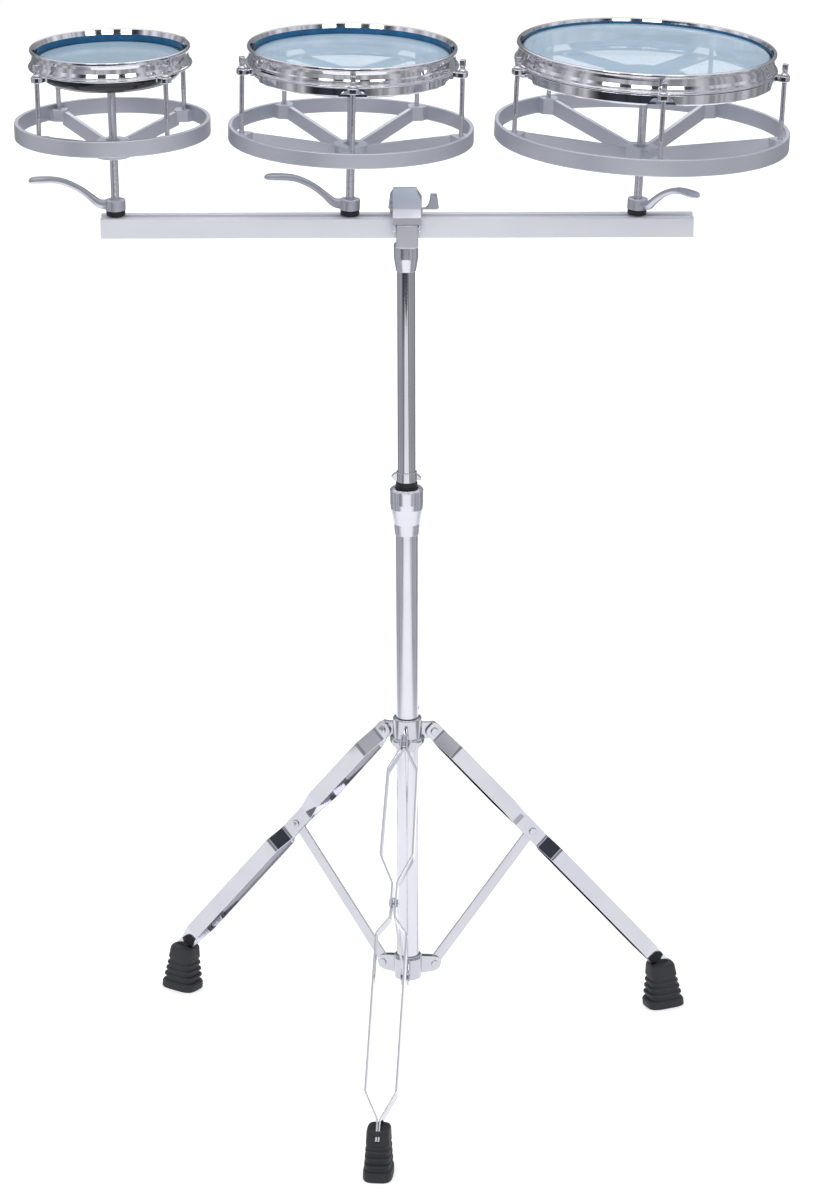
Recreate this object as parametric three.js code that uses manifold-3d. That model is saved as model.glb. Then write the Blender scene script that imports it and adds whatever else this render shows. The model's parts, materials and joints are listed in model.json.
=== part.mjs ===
// A set of three rototoms: shell-less drums tuned by turning them on threaded spindles,
// clamped in the slot of one rail, on a telescoping column with a folding double-braced tripod.
// Millimetres, +Z up, drums seen from the front along +Y. The column stands on the axis X = Y = 0
// until the last lines move the whole set to the middle of its own footprint.
import * as THREE from "three";
import { mergeVertices } from "three/addons/utils/BufferGeometryUtils.js";
import Module from "manifold-3d";

const INCH = 25.4;
const GAP = 0.3; // the least space between two pieces that touch on the real set
const SIDES = 12; // facets of small round pieces
const TUBE_SIDES = 20;

// Rail
const RAIL_LENGTH = 24 * INCH;
const RAIL_CENTRE_X = -9.2;
const RAIL_TOP = 938.6;
const RAIL_HEIGHT = 20.7;
const RAIL_DEPTH = 28.8;
const SLOT_MOUTH = 9.8;
const SLOT_WIDTH = 17.2;
const SLOT_LIP = 3.5;
const SLOT_DEPTH = 11.7;

// Column
const LOWER_TUBE_R = 12;
const UPPER_TUBE_R = 0.375 * INCH;
const TUBE_WALL = 1.5;
const LOWER_TUBE_BOTTOM = 92;
const UPPER_TUBE_BOTTOM = 340;
const CLAMP_BOTTOM = 594;
const CLAMP_TOP = 645;
const HEIGHT_SCREW_Z = 632;
const CLAMP_BOSS_END = 24;
const LOCK_BOTTOM = 652;
const LOCK_TOP = 662.8;
const NECK_BOTTOM = 880;
const NECK_R = 12.8;

// Rail clamp: its middle stands a little beside the column's axis
const CLAMP_X = 1.2;
const JAW_PIN = { y: -18.9, z: 929.4, r: 2 };
const CLAMP_SCREW = { x: 7.9, y: 46, r: 2.9, seat: 932, span: 26.4 };

// Tripod: every leg and every brace has the same length between its pivots
const LEG_AZIMUTHS = { front: -95.65, right: 24.35, left: 144.35 };
const COLLAR_SCREW_AZIMUTH = LEG_AZIMUTHS.right + 60;
const COLLAR_SCREW_Z = 379;
const PIVOT_R = 30;
const COLLAR_PIVOT_Z = 369;
const LINK = 178.5;
const LEG_ANGLE = 41.14; // from the vertical
const STRIP_WIDTH = 17;
const STRIP_THICK = 2;
const STRIP_END = 440;
const LUG_THICK = 4;
const BRACE_THICK = 2.4;
const BRACE_WIDTH = 12;
const PIN_R = 2.6;
const FOOT_R = 312.2;
const FOOT_HEIGHT = 52;

// Drums: inches across the head, station and lean of the spindle, heights over the rail, and radii
const DRUMS = [
  {
    size: 6, x: -298.5, lean: -0.9, rim: 178.4, filmDrop: 12, rodR: 92.6, rods: 4, firstRod: 40, lever: 180,
    ringTop: 102.3, ringHeight: 16.8, bossDrop: 4.5, bossHeight: 12.3, spokeDip: 3.3, hubR: 17.5, hubDrop: 22,
    floorDepth: 37, gapInner: 20, gapRim: 26, spokeWidth: 12, bandOut: 0, facets: 24,
  },
  {
    size: 8, x: -57.8, lean: 1.2, rim: 178.4, filmDrop: 10, rodR: 117.4, rods: 5, firstRod: -89, lever: 180,
    ringTop: 95.3, ringHeight: 15.5, bossDrop: 0.8, bossHeight: 14.7, spokeDip: 0, hubR: 18.2, hubDrop: 19,
    floorDepth: 31, gapInner: 30, gapRim: 8, spokeWidth: 18, bandOut: 3, facets: 28,
  },
  {
    size: 10, x: 237.6, lean: 2.7, rim: 177.4, filmDrop: 5, rodR: 143.2, rods: 5, firstRod: -85.5, lever: -50,
    ringTop: 95.2, ringHeight: 17.5, bossDrop: 0.8, bossHeight: 16.7, spokeDip: 0, hubR: 20, hubDrop: 22,
    floorDepth: 32, gapInner: 43, gapRim: 8, spokeWidth: 25, bandOut: 6, facets: 32,
  },
];
const SPINDLE_R = 4.3;
const ROD_R = 2.5;
const HOOP_HEIGHT = 20;
const EAR_TOP = 17.6; // hoop ears, measured down from the rim
const EAR_BOTTOM = 23.5;
const RING_OVERHANG = 24.3; // lower ring's outer radius past the head's
const RING_THICK = 4.5;
const SPOKE_THICK = 5;
const BOSS_HALF = 10; // lower frame's rod bosses: half width, reach inside the ring, and their square part
const BOSS_LENGTH = 15;
const BOSS_SHOULDER = 7;
const HUB_HEIGHT = 17;
const EAR_HALF = 5.2;
const FLOOR_THICK = 2.4;
const WASHER_HEIGHT = 5.4;
const WASHER_LIFT = 0.8; // room for the leaning washer over the flat rail
const LEVER_HUB_R = 10.4;
const LEVER_HUB_HEIGHT = 11.5;

const wasm = await Module();
wasm.setup();

// Finishes
const FINISH = {
  chrome: { color: 0xb4b5c0, roughness: 0.12, metalness: 1 },
  castAluminium: { color: 0xbec1cb, roughness: 0.42, metalness: 0.9 },
  railAluminium: { color: 0xcfd2dc, roughness: 0.38, metalness: 0.9 },
  steel: { color: 0x9a9aa6, roughness: 0.25, metalness: 1 },
  nylon: { color: 0x23242c, roughness: 0.5, metalness: 0 },
  rubber: { color: 0x26262a, roughness: 0.75, metalness: 0 },
  film: { color: 0xb9d0e0, roughness: 0.3, metalness: 0 },
};

// A closed geometry as a manifold solid: only positions, shared vertices merged.
function solidOf(geometry) {
  const bare = geometry.index ? geometry.toNonIndexed() : geometry.clone();
  bare.deleteAttribute("normal");
  bare.deleteAttribute("uv");
  const merged = mergeVertices(bare, 1e-3);
  return new wasm.Manifold(
    new wasm.Mesh({
      numProp: 3,
      vertProperties: merged.attributes.position.array,
      triVerts: new Uint32Array(merged.index.array),
    }),
  );
}

function geometryOf(solid) {
  const mesh = solid.getMesh();
  const geometry = new THREE.BufferGeometry();
  geometry.setAttribute("position", new THREE.BufferAttribute(new Float32Array(mesh.vertProperties), 3));
  geometry.setIndex(new THREE.BufferAttribute(new Uint32Array(mesh.triVerts), 1));
  const flat = geometry.toNonIndexed();
  flat.computeVertexNormals();
  return flat;
}

const join = (first, ...others) =>
  geometryOf(others.reduce((sum, g) => sum.add(solidOf(g)), solidOf(first)));
const cut = (body, ...tools) =>
  geometryOf(tools.reduce((rest, g) => rest.subtract(solidOf(g)), solidOf(body)));
const common = (a, b) => geometryOf(solidOf(a).intersect(solidOf(b)));

// Turned shape about Z from [radius, height] points, listed anticlockwise with the axis on the left.
function turned(points, segments = SIDES) {
  const profile = points.map(([r, z]) => new THREE.Vector2(r, z));
  return new THREE.LatheGeometry(profile, segments).rotateX(Math.PI / 2);
}

const rod = (r, z0, z1, segments = SIDES) => turned([[0, z0], [r, z0], [r, z1], [0, z1]], segments);

const pipe = (inner, outer, z0, z1, segments = SIDES) =>
  turned([[inner, z0], [outer, z0], [outer, z1], [inner, z1], [inner, z0]], segments);

// A flat outline of [x, y] points, or a Shape, made thick along Z from z0 to z1.
function slab(outline, z0, z1) {
  const drawn = outline instanceof THREE.Shape;
  const shape = drawn ? outline : new THREE.Shape(outline.map(([x, y]) => new THREE.Vector2(x, y)));
  const settings = { depth: z1 - z0, bevelEnabled: false, curveSegments: 4 };
  return new THREE.ExtrudeGeometry(shape, settings).translate(0, 0, z0);
}

// The same, standing in the XZ plane: outline points are [x, z], thick along Y from y0 to y1.
const upright = (outline, y0, y1) => slab(outline, -y1, -y0).rotateX(Math.PI / 2);

// An outline of [y, z] points made thick along X, as the rail's section is.
const acrossRail = (outline, x0, x1) => slab(outline, x0, x1).rotateX(Math.PI / 2).rotateZ(Math.PI / 2);

const block = (x0, x1, y0, y1, z0, z1) =>
  new THREE.BoxGeometry(x1 - x0, y1 - y0, z1 - z0).translate((x0 + x1) / 2, (y0 + y1) / 2, (z0 + z1) / 2);

const around = (geometry, degrees) => geometry.rotateZ(THREE.MathUtils.degToRad(degrees));

// A pin along X or along Y through a point.
const pinX = (r, x0, x1, y, z) => rod(r, x0, x1, 10).rotateY(Math.PI / 2).translate(0, y, z);
const pinY = (r, y0, y1, x, z) => rod(r, -y1, -y0, 10).rotateX(Math.PI / 2).translate(x, 0, z);

function piece(parent, name, finish, geometry) {
  const mesh = new THREE.Mesh(geometry, new THREE.MeshStandardMaterial(FINISH[finish]));
  mesh.name = name;
  parent.add(mesh);
  return mesh;
}

// Two ears of a wing screw about Z: plan half-span, heights of web and tips, thickness.
function wings(span, low, high, thick) {
  const rise = high - low;
  const ear = [[4, low], [span * 0.94, low], [span, low + rise * 0.1], [span * 0.92, high],
    [span * 0.67, high], [span * 0.61, low + rise * 0.45], [span * 0.53, low + rise * 0.2],
    [span * 0.42, low + rise * 0.15], [4, low + rise * 0.15]];
  const left = ear.map(([x, z]) => [-x, z]).reverse();
  return [upright(ear, -thick / 2, thick / 2), upright(left, -thick / 2, thick / 2)];
}

// Rail: an extrusion with a T-slot along its top.
function rail() {
  const half = RAIL_DEPTH / 2;
  const mouth = SLOT_MOUTH / 2;
  const inside = SLOT_WIDTH / 2;
  const lip = RAIL_HEIGHT - SLOT_LIP;
  const floor = RAIL_HEIGHT - SLOT_DEPTH;
  const section = [
    [-half, 0], [half, 0], [half, RAIL_HEIGHT], [mouth, RAIL_HEIGHT], [mouth, lip], [inside, lip],
    [inside, floor], [-inside, floor], [-inside, lip], [-mouth, lip], [-mouth, RAIL_HEIGHT],
    [-half, RAIL_HEIGHT],
  ];
  const bar = acrossRail(section, -RAIL_LENGTH / 2, RAIL_LENGTH / 2);
  return bar.translate(RAIL_CENTRE_X, 0, RAIL_TOP - RAIL_HEIGHT);
}

// Spindle: T-foot in the rail's slot, long threaded shaft, and a shoulder under the upper frame.
function spindle(drum) {
  const footTop = -SLOT_LIP - 0.7;
  const foot = block(-8, 8, -SLOT_WIDTH / 2 + 0.5, SLOT_WIDTH / 2 - 0.5, footTop - 6, footTop);
  const floor = drum.rim - drum.floorDepth;
  const shaft = turned([[0, footTop - 1], [SPINDLE_R, footTop - 1], [SPINDLE_R, floor - 4], [7, floor - 4],
    [7, floor - GAP], [SPINDLE_R, floor - GAP], [SPINDLE_R, floor + 6], [0, floor + 6]]);
  return join(foot, shaft);
}

function washer() {
  return pipe(SPINDLE_R + 0.4, 9.8, WASHER_LIFT, WASHER_LIFT + WASHER_HEIGHT, 16);
}

// Lever nut: a round hub with an arm that climbs away from it and levels out in a flat paddle.
function lever(drum) {
  const low = WASHER_LIFT + WASHER_HEIGHT + GAP;
  const high = low + LEVER_HUB_HEIGHT;
  const hubR = LEVER_HUB_R;
  const hub = turned([[0, low], [hubR, low], [hubR, high - 1.5], [hubR - 2, high], [0, high]], 18);
  const top = [[4, 17.2], [15, 17.4], [22, 21.5], [32, 29.7], [44, 36.6], [56, 41], [70, 42.5], [84, 42],
    [88.4, 39]];
  const bottom = [[86.4, 36.4], [80, 35.9], [66, 36], [56, 34.8], [46, 31], [36, 25.6], [26, 17.4], [18, 8.8],
    [12, 7], [4, 7]];
  const plan = [[3, -4.6], [40, -3.6], [60, -4.4], [76, -6.6], [85, -5.6], [88.4, -2.4], [88.4, 2.4],
    [85, 5.6], [76, 6.6], [60, 4.4], [40, 3.6], [3, 4.6]];
  const arm = common(upright([...top, ...bottom].reverse(), -8, 8), slab(plan, 0, 45));
  return around(cut(join(hub, arm), rod(SPINDLE_R + 0.4, -1, 45)), drum.lever);
}

const headR = (drum) => (drum.size * INCH) / 2;

const rodAngles = (drum) =>
  Array.from({ length: drum.rods }, (_, i) => drum.firstRod + (i * 360) / drum.rods);

const atRods = (drum, make) => rodAngles(drum).map((angle) => around(make(), angle));

const rodBore = (drum, z0, z1) => atRods(drum, () => rod(ROD_R + 0.45, z0, z1, 8).translate(drum.rodR, 0, 0));

// Lower frame: cast ring with a boss for every tension rod, and spokes that slope from the bosses down to
// a threaded hub below the ring. The hub is round, on the largest drum five-sided with corners at the spokes.
function lowerFrame(drum) {
  const outer = headR(drum) + RING_OVERHANG;
  const wall = outer - RING_THICK;
  const top = drum.ringTop;
  const low = top - drum.ringHeight;
  const ring = pipe(wall, outer, low, top, drum.facets);

  const bossTop = top - drum.bossDrop;
  const bossLow = bossTop - drum.bossHeight;
  const half = SPOKE_THICK / 2;
  const root = wall - BOSS_LENGTH;
  const shoulder = wall - BOSS_SHOULDER;
  const anchor = wall + RING_THICK / 2;
  const boss = [[root, -half], [shoulder, -BOSS_HALF], [anchor, -BOSS_HALF], [anchor, BOSS_HALF],
    [shoulder, BOSS_HALF], [root, half]];
  const bosses = atRods(drum, () => slab(boss, bossLow, bossTop));

  const { hubR } = drum;
  const hubTop = top - drum.hubDrop;
  const hubLow = hubTop - HUB_HEIGHT;
  const slope = [[hubR - 4, hubLow + 0.8], [root + 3, bossLow - drum.spokeDip], [root + 3, bossTop],
    [hubR - 4, hubTop - 0.6]];
  const spokes = atRods(drum, () => upright(slope, -half, half));
  const hubProfile = [[0, hubLow], [hubR + 2, hubLow], [hubR + 2, hubLow + 3], [hubR, hubLow + 5],
    [hubR, hubTop], [0, hubTop]];
  const corners = rodAngles(drum).map((angle) => THREE.MathUtils.degToRad(angle))
    .map((angle) => [hubR * Math.cos(angle), hubR * Math.sin(angle)]);
  const hub = drum.size === 10 ? slab(corners, hubLow, hubTop) : turned(hubProfile, 16);
  const spindleBore = rod(SPINDLE_R + 0.4, hubLow - 1, hubTop + 1);
  return cut(join(ring, hub, ...bosses, ...spokes), spindleBore, ...rodBore(drum, bossLow - 1, top + 1));
}

// Hoop: rolled rim, straight wall, skirt that flares over the flesh hoop, and an eared bottom flange.
function hoop(drum) {
  const r = headR(drum);
  const top = drum.rim;
  const low = top - HOOP_HEIGHT;
  const section = [
    [r + 4.8, low], [r + 7.6, low], [r + 7.6, top - 17.8], [r + 6.4, top - 16.4], [r + 4.4, top - 12],
    [r + 3.2, top - 7.5], [r + 3.2, top - 3.8], [r + 5.65, top - 3], [r + 5.65, top], [r + 0.8, top],
    [r + 0.8, top - 13.6], [r + 4.8, top - 14.4], [r + 4.8, low],
  ];
  const outside = drum.rodR + EAR_HALF;
  const ear = [[r + 6.5, -EAR_HALF], [outside - 2, -EAR_HALF], [outside, -3], [outside, 3],
    [outside - 2, EAR_HALF], [r + 6.5, EAR_HALF]];
  const ears = atRods(drum, () => slab(ear, top - EAR_BOTTOM, top - EAR_TOP));
  return cut(join(turned(section, drum.facets), ...ears), ...rodBore(drum, top - 30, top - 10));
}

// Head: a flat film below the rim, with a collar that drops to the metal flesh hoop at its edge.
function head(drum) {
  const r = headR(drum);
  const top = drum.rim;
  const film = top - drum.filmDrop;
  return turned([[0, film - 1], [r - 1.7, film - 1], [r - 1.7, top - 18.4], [r + 4.2, top - 18.4],
    [r + 4.2, top - 14.8], [r + 0.4, top - 14.8], [r - 0.6, film], [0, film]], drum.facets);
}

// Upper frame: a pressed pan whose edge carries the head, with a spoked floor and a hub on the spindle.
function upperFrame(drum) {
  const r = headR(drum);
  const top = drum.rim;
  const floor = top - drum.floorDepth;
  const bearing = top - drum.filmDrop - 1.3;
  const edge = [[r - 2.1, bearing], [r - 4.6, bearing]];
  const out = r + drum.bandOut;
  const dish = [[r - 24.2, floor], [r - 7.2, top - 31.5], [r - 2.1, top - 22]];
  const dishInside = [[r - 4.6, top - 22], [r - 9.6, top - 30.5], [r - 24.6, floor + FLOOR_THICK]];
  const band = [[out - 1, floor], [out, top - 20.6], [r - 2.1, top - 20.6]];
  const bandInside = [[r - 4.6, top - 23], [out - 2.5, top - 23], [out - 3.3, floor + FLOOR_THICK]];
  const [outside, inside] = drum.size === 6 ? [dish, dishInside] : [band, bandInside];
  const pan = turned([[0, floor], ...outside, ...edge, ...inside, [0, floor + FLOOR_THICK]], drum.facets);
  const gaps = atRods(drum, () => slab(floorGap(drum), floor - 5, floor + 8));
  const arch = [[-15, floor - 1], [15, floor - 1], [15, top - 28], [10, top - 23.8], [-10, top - 23.8],
    [-15, top - 28]];
  const notch = () => upright(arch, r - 2, r + 12).rotateZ(-Math.PI / 2);
  const notches = drum.size === 6 ? [] : atRods(drum, notch);
  const hubbed = join(pan, rod(9.5, floor, floor + 5));
  return cut(hubbed, rod(SPINDLE_R + 0.4, floor - 1, floor + 10), ...gaps, ...notches);
}

// The opening between two floor spokes, half a step round from the spokes' own angles.
function floorGap(drum) {
  const step = Math.PI / drum.rods;
  const inner = drum.gapInner;
  const outer = headR(drum) - drum.gapRim;
  const halfAt = (radius) => step - Math.asin(drum.spokeWidth / 2 / radius);
  const shape = new THREE.Shape();
  shape.absarc(0, 0, outer, step - halfAt(outer), step + halfAt(outer), false);
  shape.absarc(0, 0, inner, step + halfAt(inner), step - halfAt(inner), true);
  return shape;
}

// Tension rod: square head and cone washer over the hoop's ear, shaft down into the lower frame's boss.
function tensionRod(drum) {
  const seat = drum.rim - EAR_TOP + GAP;
  const low = drum.ringTop - drum.ringHeight + 2;
  const cone = [[4.1, seat], [2.6, seat + 6]];
  const shaft = turned([[0, low], [ROD_R, low], [ROD_R, seat], ...cone, [0, seat + 6]], 8);
  return join(shaft, block(-2.9, 2.9, -2.9, 2.9, seat + 5.5, seat + 12));
}

function buildDrum(set, drum) {
  const group = new THREE.Group();
  group.position.set(drum.x, 0, RAIL_TOP);
  group.rotation.y = THREE.MathUtils.degToRad(drum.lean);
  const tag = `${drum.size}in`;
  piece(group, `spindle_${tag}`, "steel", spindle(drum));
  piece(group, `washer_${tag}`, "nylon", washer());
  piece(group, `lever_${tag}`, "castAluminium", lever(drum));
  piece(group, `lower_frame_${tag}`, "castAluminium", lowerFrame(drum));
  piece(group, `upper_frame_${tag}`, "chrome", upperFrame(drum));
  piece(group, `head_${tag}`, "film", head(drum));
  piece(group, `hoop_${tag}`, "chrome", hoop(drum));
  atRods(drum, () => tensionRod(drum).translate(drum.rodR, 0, 0)).forEach((geometry, i) =>
    piece(group, `tension_rod_${tag}_${i + 1}`, "steel", geometry));
  set.add(group);
}

// Column: two telescoping tubes, the height clamp with its bushing and screw, and the memory lock.
function buildColumn(set) {
  const lower = pipe(LOWER_TUBE_R - TUBE_WALL, LOWER_TUBE_R, LOWER_TUBE_BOTTOM, CLAMP_TOP - 10, TUBE_SIDES);
  piece(set, "lower_tube", "chrome", lower);
  const upper = pipe(UPPER_TUBE_R - TUBE_WALL, UPPER_TUBE_R, UPPER_TUBE_BOTTOM, NECK_BOTTOM + 20, TUBE_SIDES);
  piece(set, "upper_tube", "chrome", upper);

  const bore = LOWER_TUBE_R + GAP;
  const shell = turned([[bore, CLAMP_BOTTOM], [bore + 0.8, CLAMP_BOTTOM], [14.2, 606], [17.75, 626],
    [17.75, CLAMP_TOP - 2], [16, CLAMP_TOP], [bore, CLAMP_TOP], [bore, CLAMP_BOTTOM]], TUBE_SIDES);
  const boss = pinY(6, 14, CLAMP_BOSS_END, 0, HEIGHT_SCREW_Z);
  const bored = cut(join(shell, boss), rod(bore, CLAMP_BOTTOM, CLAMP_TOP, TUBE_SIDES));
  piece(set, "height_clamp", "chrome", cut(bored, pinY(3.4, 10, 30, 0, HEIGHT_SCREW_Z)));

  const inside = UPPER_TUBE_R + GAP;
  const sleeve = LOWER_TUBE_R - 0.4;
  const collar = sleeve - 0.2;
  const shoulder = CLAMP_TOP + GAP;
  const bushing = turned([[inside, CLAMP_TOP - 9.6], [sleeve, CLAMP_TOP - 9.6], [sleeve, shoulder],
    [collar, shoulder], [collar, LOCK_BOTTOM - GAP], [inside, LOCK_BOTTOM - GAP],
    [inside, CLAMP_TOP - 9.6]], TUBE_SIDES);
  piece(set, "clamp_bushing", "nylon", bushing);

  const out = CLAMP_BOSS_END + GAP;
  const screw = join(rod(2.9, bore + GAP, out + 3), rod(5, out, out + 6), ...wings(14, out + 3, out + 13, 3));
  const turnedBack = around(screw, 25).rotateX(-Math.PI / 2).translate(0, 0, HEIGHT_SCREW_Z);
  piece(set, "height_wing_screw", "chrome", turnedBack);

  const band = pipe(UPPER_TUBE_R + GAP, 10.9, LOCK_BOTTOM, LOCK_TOP, TUBE_SIDES);
  const leftEar = upright([[-16.4, 658], [-13, 661.5], [-9, 662], [-9, 653], [-13.5, 654]], -4, 1);
  const rightEar = upright([[9, 653], [15.6, 653], [15.2, 655.5], [9, 660]], -1, 4);
  const lock = cut(join(band, leftEar, rightEar), rod(UPPER_TUBE_R + GAP, 640, 670, TUBE_SIDES));
  piece(set, "memory_lock", "chrome", lock);
}

// Rail clamp: base on the column with a saddle and front block, a jaw hinged to the block that hooks
// over the rail, and a wing screw behind the rail that draws the jaw's tail down to the base's lug.
function clampBase() {
  const bore = UPPER_TUBE_R + GAP;
  const top = 909;
  const taper = [[bore, NECK_BOTTOM], [bore + 0.7, NECK_BOTTOM], [NECK_R, NECK_BOTTOM + 14]];
  const stem = turned([...taper, [NECK_R, top], [0, top], [0, top - 6], [bore, top - 6], taper[0]],
    TUBE_SIDES);
  const saddle = block(-11.5, 11.5, -17, 21, top - 1, RAIL_TOP - RAIL_HEIGHT - 0.4).translate(CLAMP_X, 0, 0);
  const face = [[-8.3, top - 1], [8.3, top - 1], [11.5, 921], [11.5, 933.6], [-11.5, 933.6], [-11.5, 921]];
  const front = upright(face, JAW_PIN.y - 2.7, JAW_PIN.y + 3).translate(CLAMP_X, 0, 0);
  const lug = slab([[-8, 18], [12, 18], [15.6, 38], [15.6, 57], [0, 57], [-3, 38]], top - 1, top + 7);
  const pin = pinX(JAW_PIN.r, CLAMP_X - 14.8, CLAMP_X + 14.2, JAW_PIN.y, JAW_PIN.z);
  const { x, y } = CLAMP_SCREW;
  const screwSlot = block(x - 3.5, x + 3.5, y - 4, y + 6, 900, 920);
  return join(cut(join(stem, saddle, front, lug), screwSlot), pin);
}

function clampJaw() {
  const tail = CLAMP_SCREW.seat - GAP;
  const outer = [[-22.4, 926], [-22.6, 934], [-21.4, 941], [-17, 949.5], [-9, 958], [0, 964.4], [4, 966.8],
    [11, 966.4], [15, 961], [18.8, 952], [18.9, tail], [58, tail]];
  const inner = [[58, tail - 4.4], [15.5, tail - 4.4], [15.5, 939.2], [10, 939.2], [10, 943], [13.5, 947],
    [12.5, 956], [9, 961], [0, 959], [-7, 954], [-12.5, 947], [-13.5, 939.2], [-17.6, 939.2], [-17.2, 934.4],
    [-16, 934.2], [-15.9, 926]];
  const arch = acrossRail([...outer, ...inner].reverse(), -17, 18);
  const plan = [[-13.6, -25], [15.4, -25], [15.4, -3], [16.4, -2], [16.4, 19], [17.4, 36], [17.4, 55],
    [15, 58], [1, 58], [-1.4, 55], [-1.4, 36], [-12, 19], [-16.4, 19], [-16.4, -2], [-13.6, -3]];
  const face = [[-18, 920], [18, 920], [18, 953], [16.4, 955], [11.6, 963.4], [11.6, 970], [-13.4, 970],
    [-13.4, 963.4], [-16.4, 957.5], [-18, 956]];
  const shape = common(common(arch, slab(plan, 920, 970)), upright(face, -30, 60));
  const blockRoom = block(-11.9, 11.9, -23, -15, 920, 934.2).translate(CLAMP_X, 0, 0);
  const pinRoom = pinX(JAW_PIN.r + 0.5, -17, 17, JAW_PIN.y, JAW_PIN.z);
  const { x, y } = CLAMP_SCREW;
  return cut(shape, blockRoom, pinRoom, block(x - 3.6, x + 3.6, y - 3.6, 60, tail - 6, tail + 2));
}

function clampScrew() {
  const { x, y, r, seat, span } = CLAMP_SCREW;
  const ears = wings(span, seat + 0.7, seat + 18.2, 3.4);
  return join(rod(r, 905, seat + 2), rod(5.9, seat, seat + 6), ...ears).translate(x, y, 0);
}

function buildRailClamp(set) {
  piece(set, "rail_clamp_base", "castAluminium", clampBase());
  piece(set, "rail_clamp_jaw", "castAluminium", clampJaw());
  piece(set, "rail_clamp_wing_screw", "steel", clampScrew());
  piece(set, "rail", "railAluminium", rail());
}

// Leg collar: a ring that slides on the lower tube, with one lug for each leg and a wing screw at the back.
function legCollar() {
  const bore = LOWER_TUBE_R + GAP;
  const flange = [[bore + 0.7, 353], [18.5, 361.4], [18.5, 366.8], [15.5, 367]];
  const body = turned([[bore, 353], ...flange, [15.5, 388.5], [14.6, 389.6], [bore, 389.6], [bore, 353]],
    TUBE_SIDES);
  const side = [[14, 361], [30, 361], [36.5, 364], [38, 369], [36.5, 374], [30, 378.5], [14, 381]];
  const lug = upright(side, -LUG_THICK / 2, LUG_THICK / 2);
  const pinRoom = pinY(PIN_R + 0.5, -6, 6, PIVOT_R, COLLAR_PIVOT_Z);
  const lugs = Object.values(LEG_AZIMUTHS).map((angle) => around(cut(lug, pinRoom), angle));
  const boss = around(pinX(5.5, 14, 20, 0, COLLAR_SCREW_Z), COLLAR_SCREW_AZIMUTH);
  const screwRoom = around(pinX(3.4, 11, 22, 0, COLLAR_SCREW_Z), COLLAR_SCREW_AZIMUTH);
  return cut(join(body, ...lugs, boss), screwRoom);
}

function collarScrew() {
  const geometry = join(rod(2.9, 12.6, 24), rod(5, 22, 28), ...wings(13.5, 26, 38, 3));
  geometry.rotateZ(0.75).rotateY(Math.PI / 2).translate(0, 0, COLLAR_SCREW_Z);
  return around(geometry, COLLAR_SCREW_AZIMUTH);
}

// Brace bracket: a ring fixed to the foot of the lower tube with a pair of ear plates for each brace.
const BRACE_PIVOT_Z = COLLAR_PIVOT_Z - 2 * LINK * Math.cos(THREE.MathUtils.degToRad(LEG_ANGLE));
const EAR_INNER = 2.2;
const EAR_THICK = 2;

function braceBracket() {
  const bore = LOWER_TUBE_R + GAP;
  const z = BRACE_PIVOT_Z;
  const cup = LOWER_TUBE_BOTTOM - GAP;
  const ring = turned([[0, cup - 2.1], [14.8, cup - 2.1], [15.2, z + 13], [14.2, z + 16], [bore, z + 16],
    [bore, cup], [0, cup]], TUBE_SIDES);
  const plate = [[13, z - 8], [30, z - 8.5], [35.5, z - 6.5], [38.5, z], [35.5, z + 6.5], [30, z + 8.5],
    [13, z + 12]];
  const ears = Object.values(LEG_AZIMUTHS).flatMap((angle) => [1, -1].map((side) => {
    const near = side * EAR_INNER;
    const far = side * (EAR_INNER + EAR_THICK);
    const ear = upright(plate, Math.min(near, far), Math.max(near, far));
    const rivet = pinY(4, Math.min(far, far + side * 1.4), Math.max(far, far + side * 1.4), PIVOT_R, z);
    return around(join(ear, rivet.translate(0, -side * 0.3, 0)), angle);
  }));
  return join(ring, ...ears);
}

// A leg's frame: origin at the collar pivot, +X down along the leg, Y across its two strips.
function alongLeg(geometry, azimuth) {
  geometry.rotateY(THREE.MathUtils.degToRad(90 - LEG_ANGLE)).translate(PIVOT_R, 0, COLLAR_PIVOT_Z);
  return around(geometry, azimuth);
}

// One bowed strip of a leg, as its middle line's distance from the leg's own plane along its length.
const STRIP_BOW = [[-8.5, 3.3], [8, 3.3], [31, 15.4], [127, 17], [158, 2.5], [196, 2.5], [214, 16], [386, 16],
  [416, 1.3], [STRIP_END, 1.3]];

function legStrip(side) {
  const half = STRIP_THICK / 2;
  const w = STRIP_WIDTH / 2;
  const outside = STRIP_BOW.map(([s, y]) => [s, side * (y + half)]);
  const inside = STRIP_BOW.map(([s, y]) => [s, side * (y - half)]);
  const band = slab([...outside, ...inside.reverse()], -w, w);
  const face = [[-8.5, -3.6], [-6, -6], [-3.6, -w], [0, -w - 1], [STRIP_END, -w - 1], [STRIP_END, w + 1],
    [0, w + 1], [-3.6, w], [-6, 6], [-8.5, 3.6]];
  return common(band, upright(face, -25, 25));
}

// The right-hand strip carries the pins, the left-hand one has their holes.
function buildLeg(set, name, azimuth) {
  const pins = [[0, 3.3], [LINK, 2.5]];
  const pinned = join(legStrip(-1), ...pins.map(([s, y]) => pinY(PIN_R, -y - 2.4, y + 2.4, s, 0)),
    ...pins.map(([s, y]) => pinY(4.2, -y - 2.2, -y - 0.9, s, 0)));
  const holed = cut(legStrip(1), ...pins.map(([s]) => pinY(PIN_R + 0.5, 0, 9, s, 0)));
  piece(set, `leg_${name}_pinned_strip`, "chrome", alongLeg(pinned, azimuth));
  piece(set, `leg_${name}_holed_strip`, "chrome", alongLeg(holed, azimuth));
  piece(set, `foot_${name}`, "rubber", foot(azimuth));
  piece(set, `brace_${name}`, "chrome", brace(azimuth));
}

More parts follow.
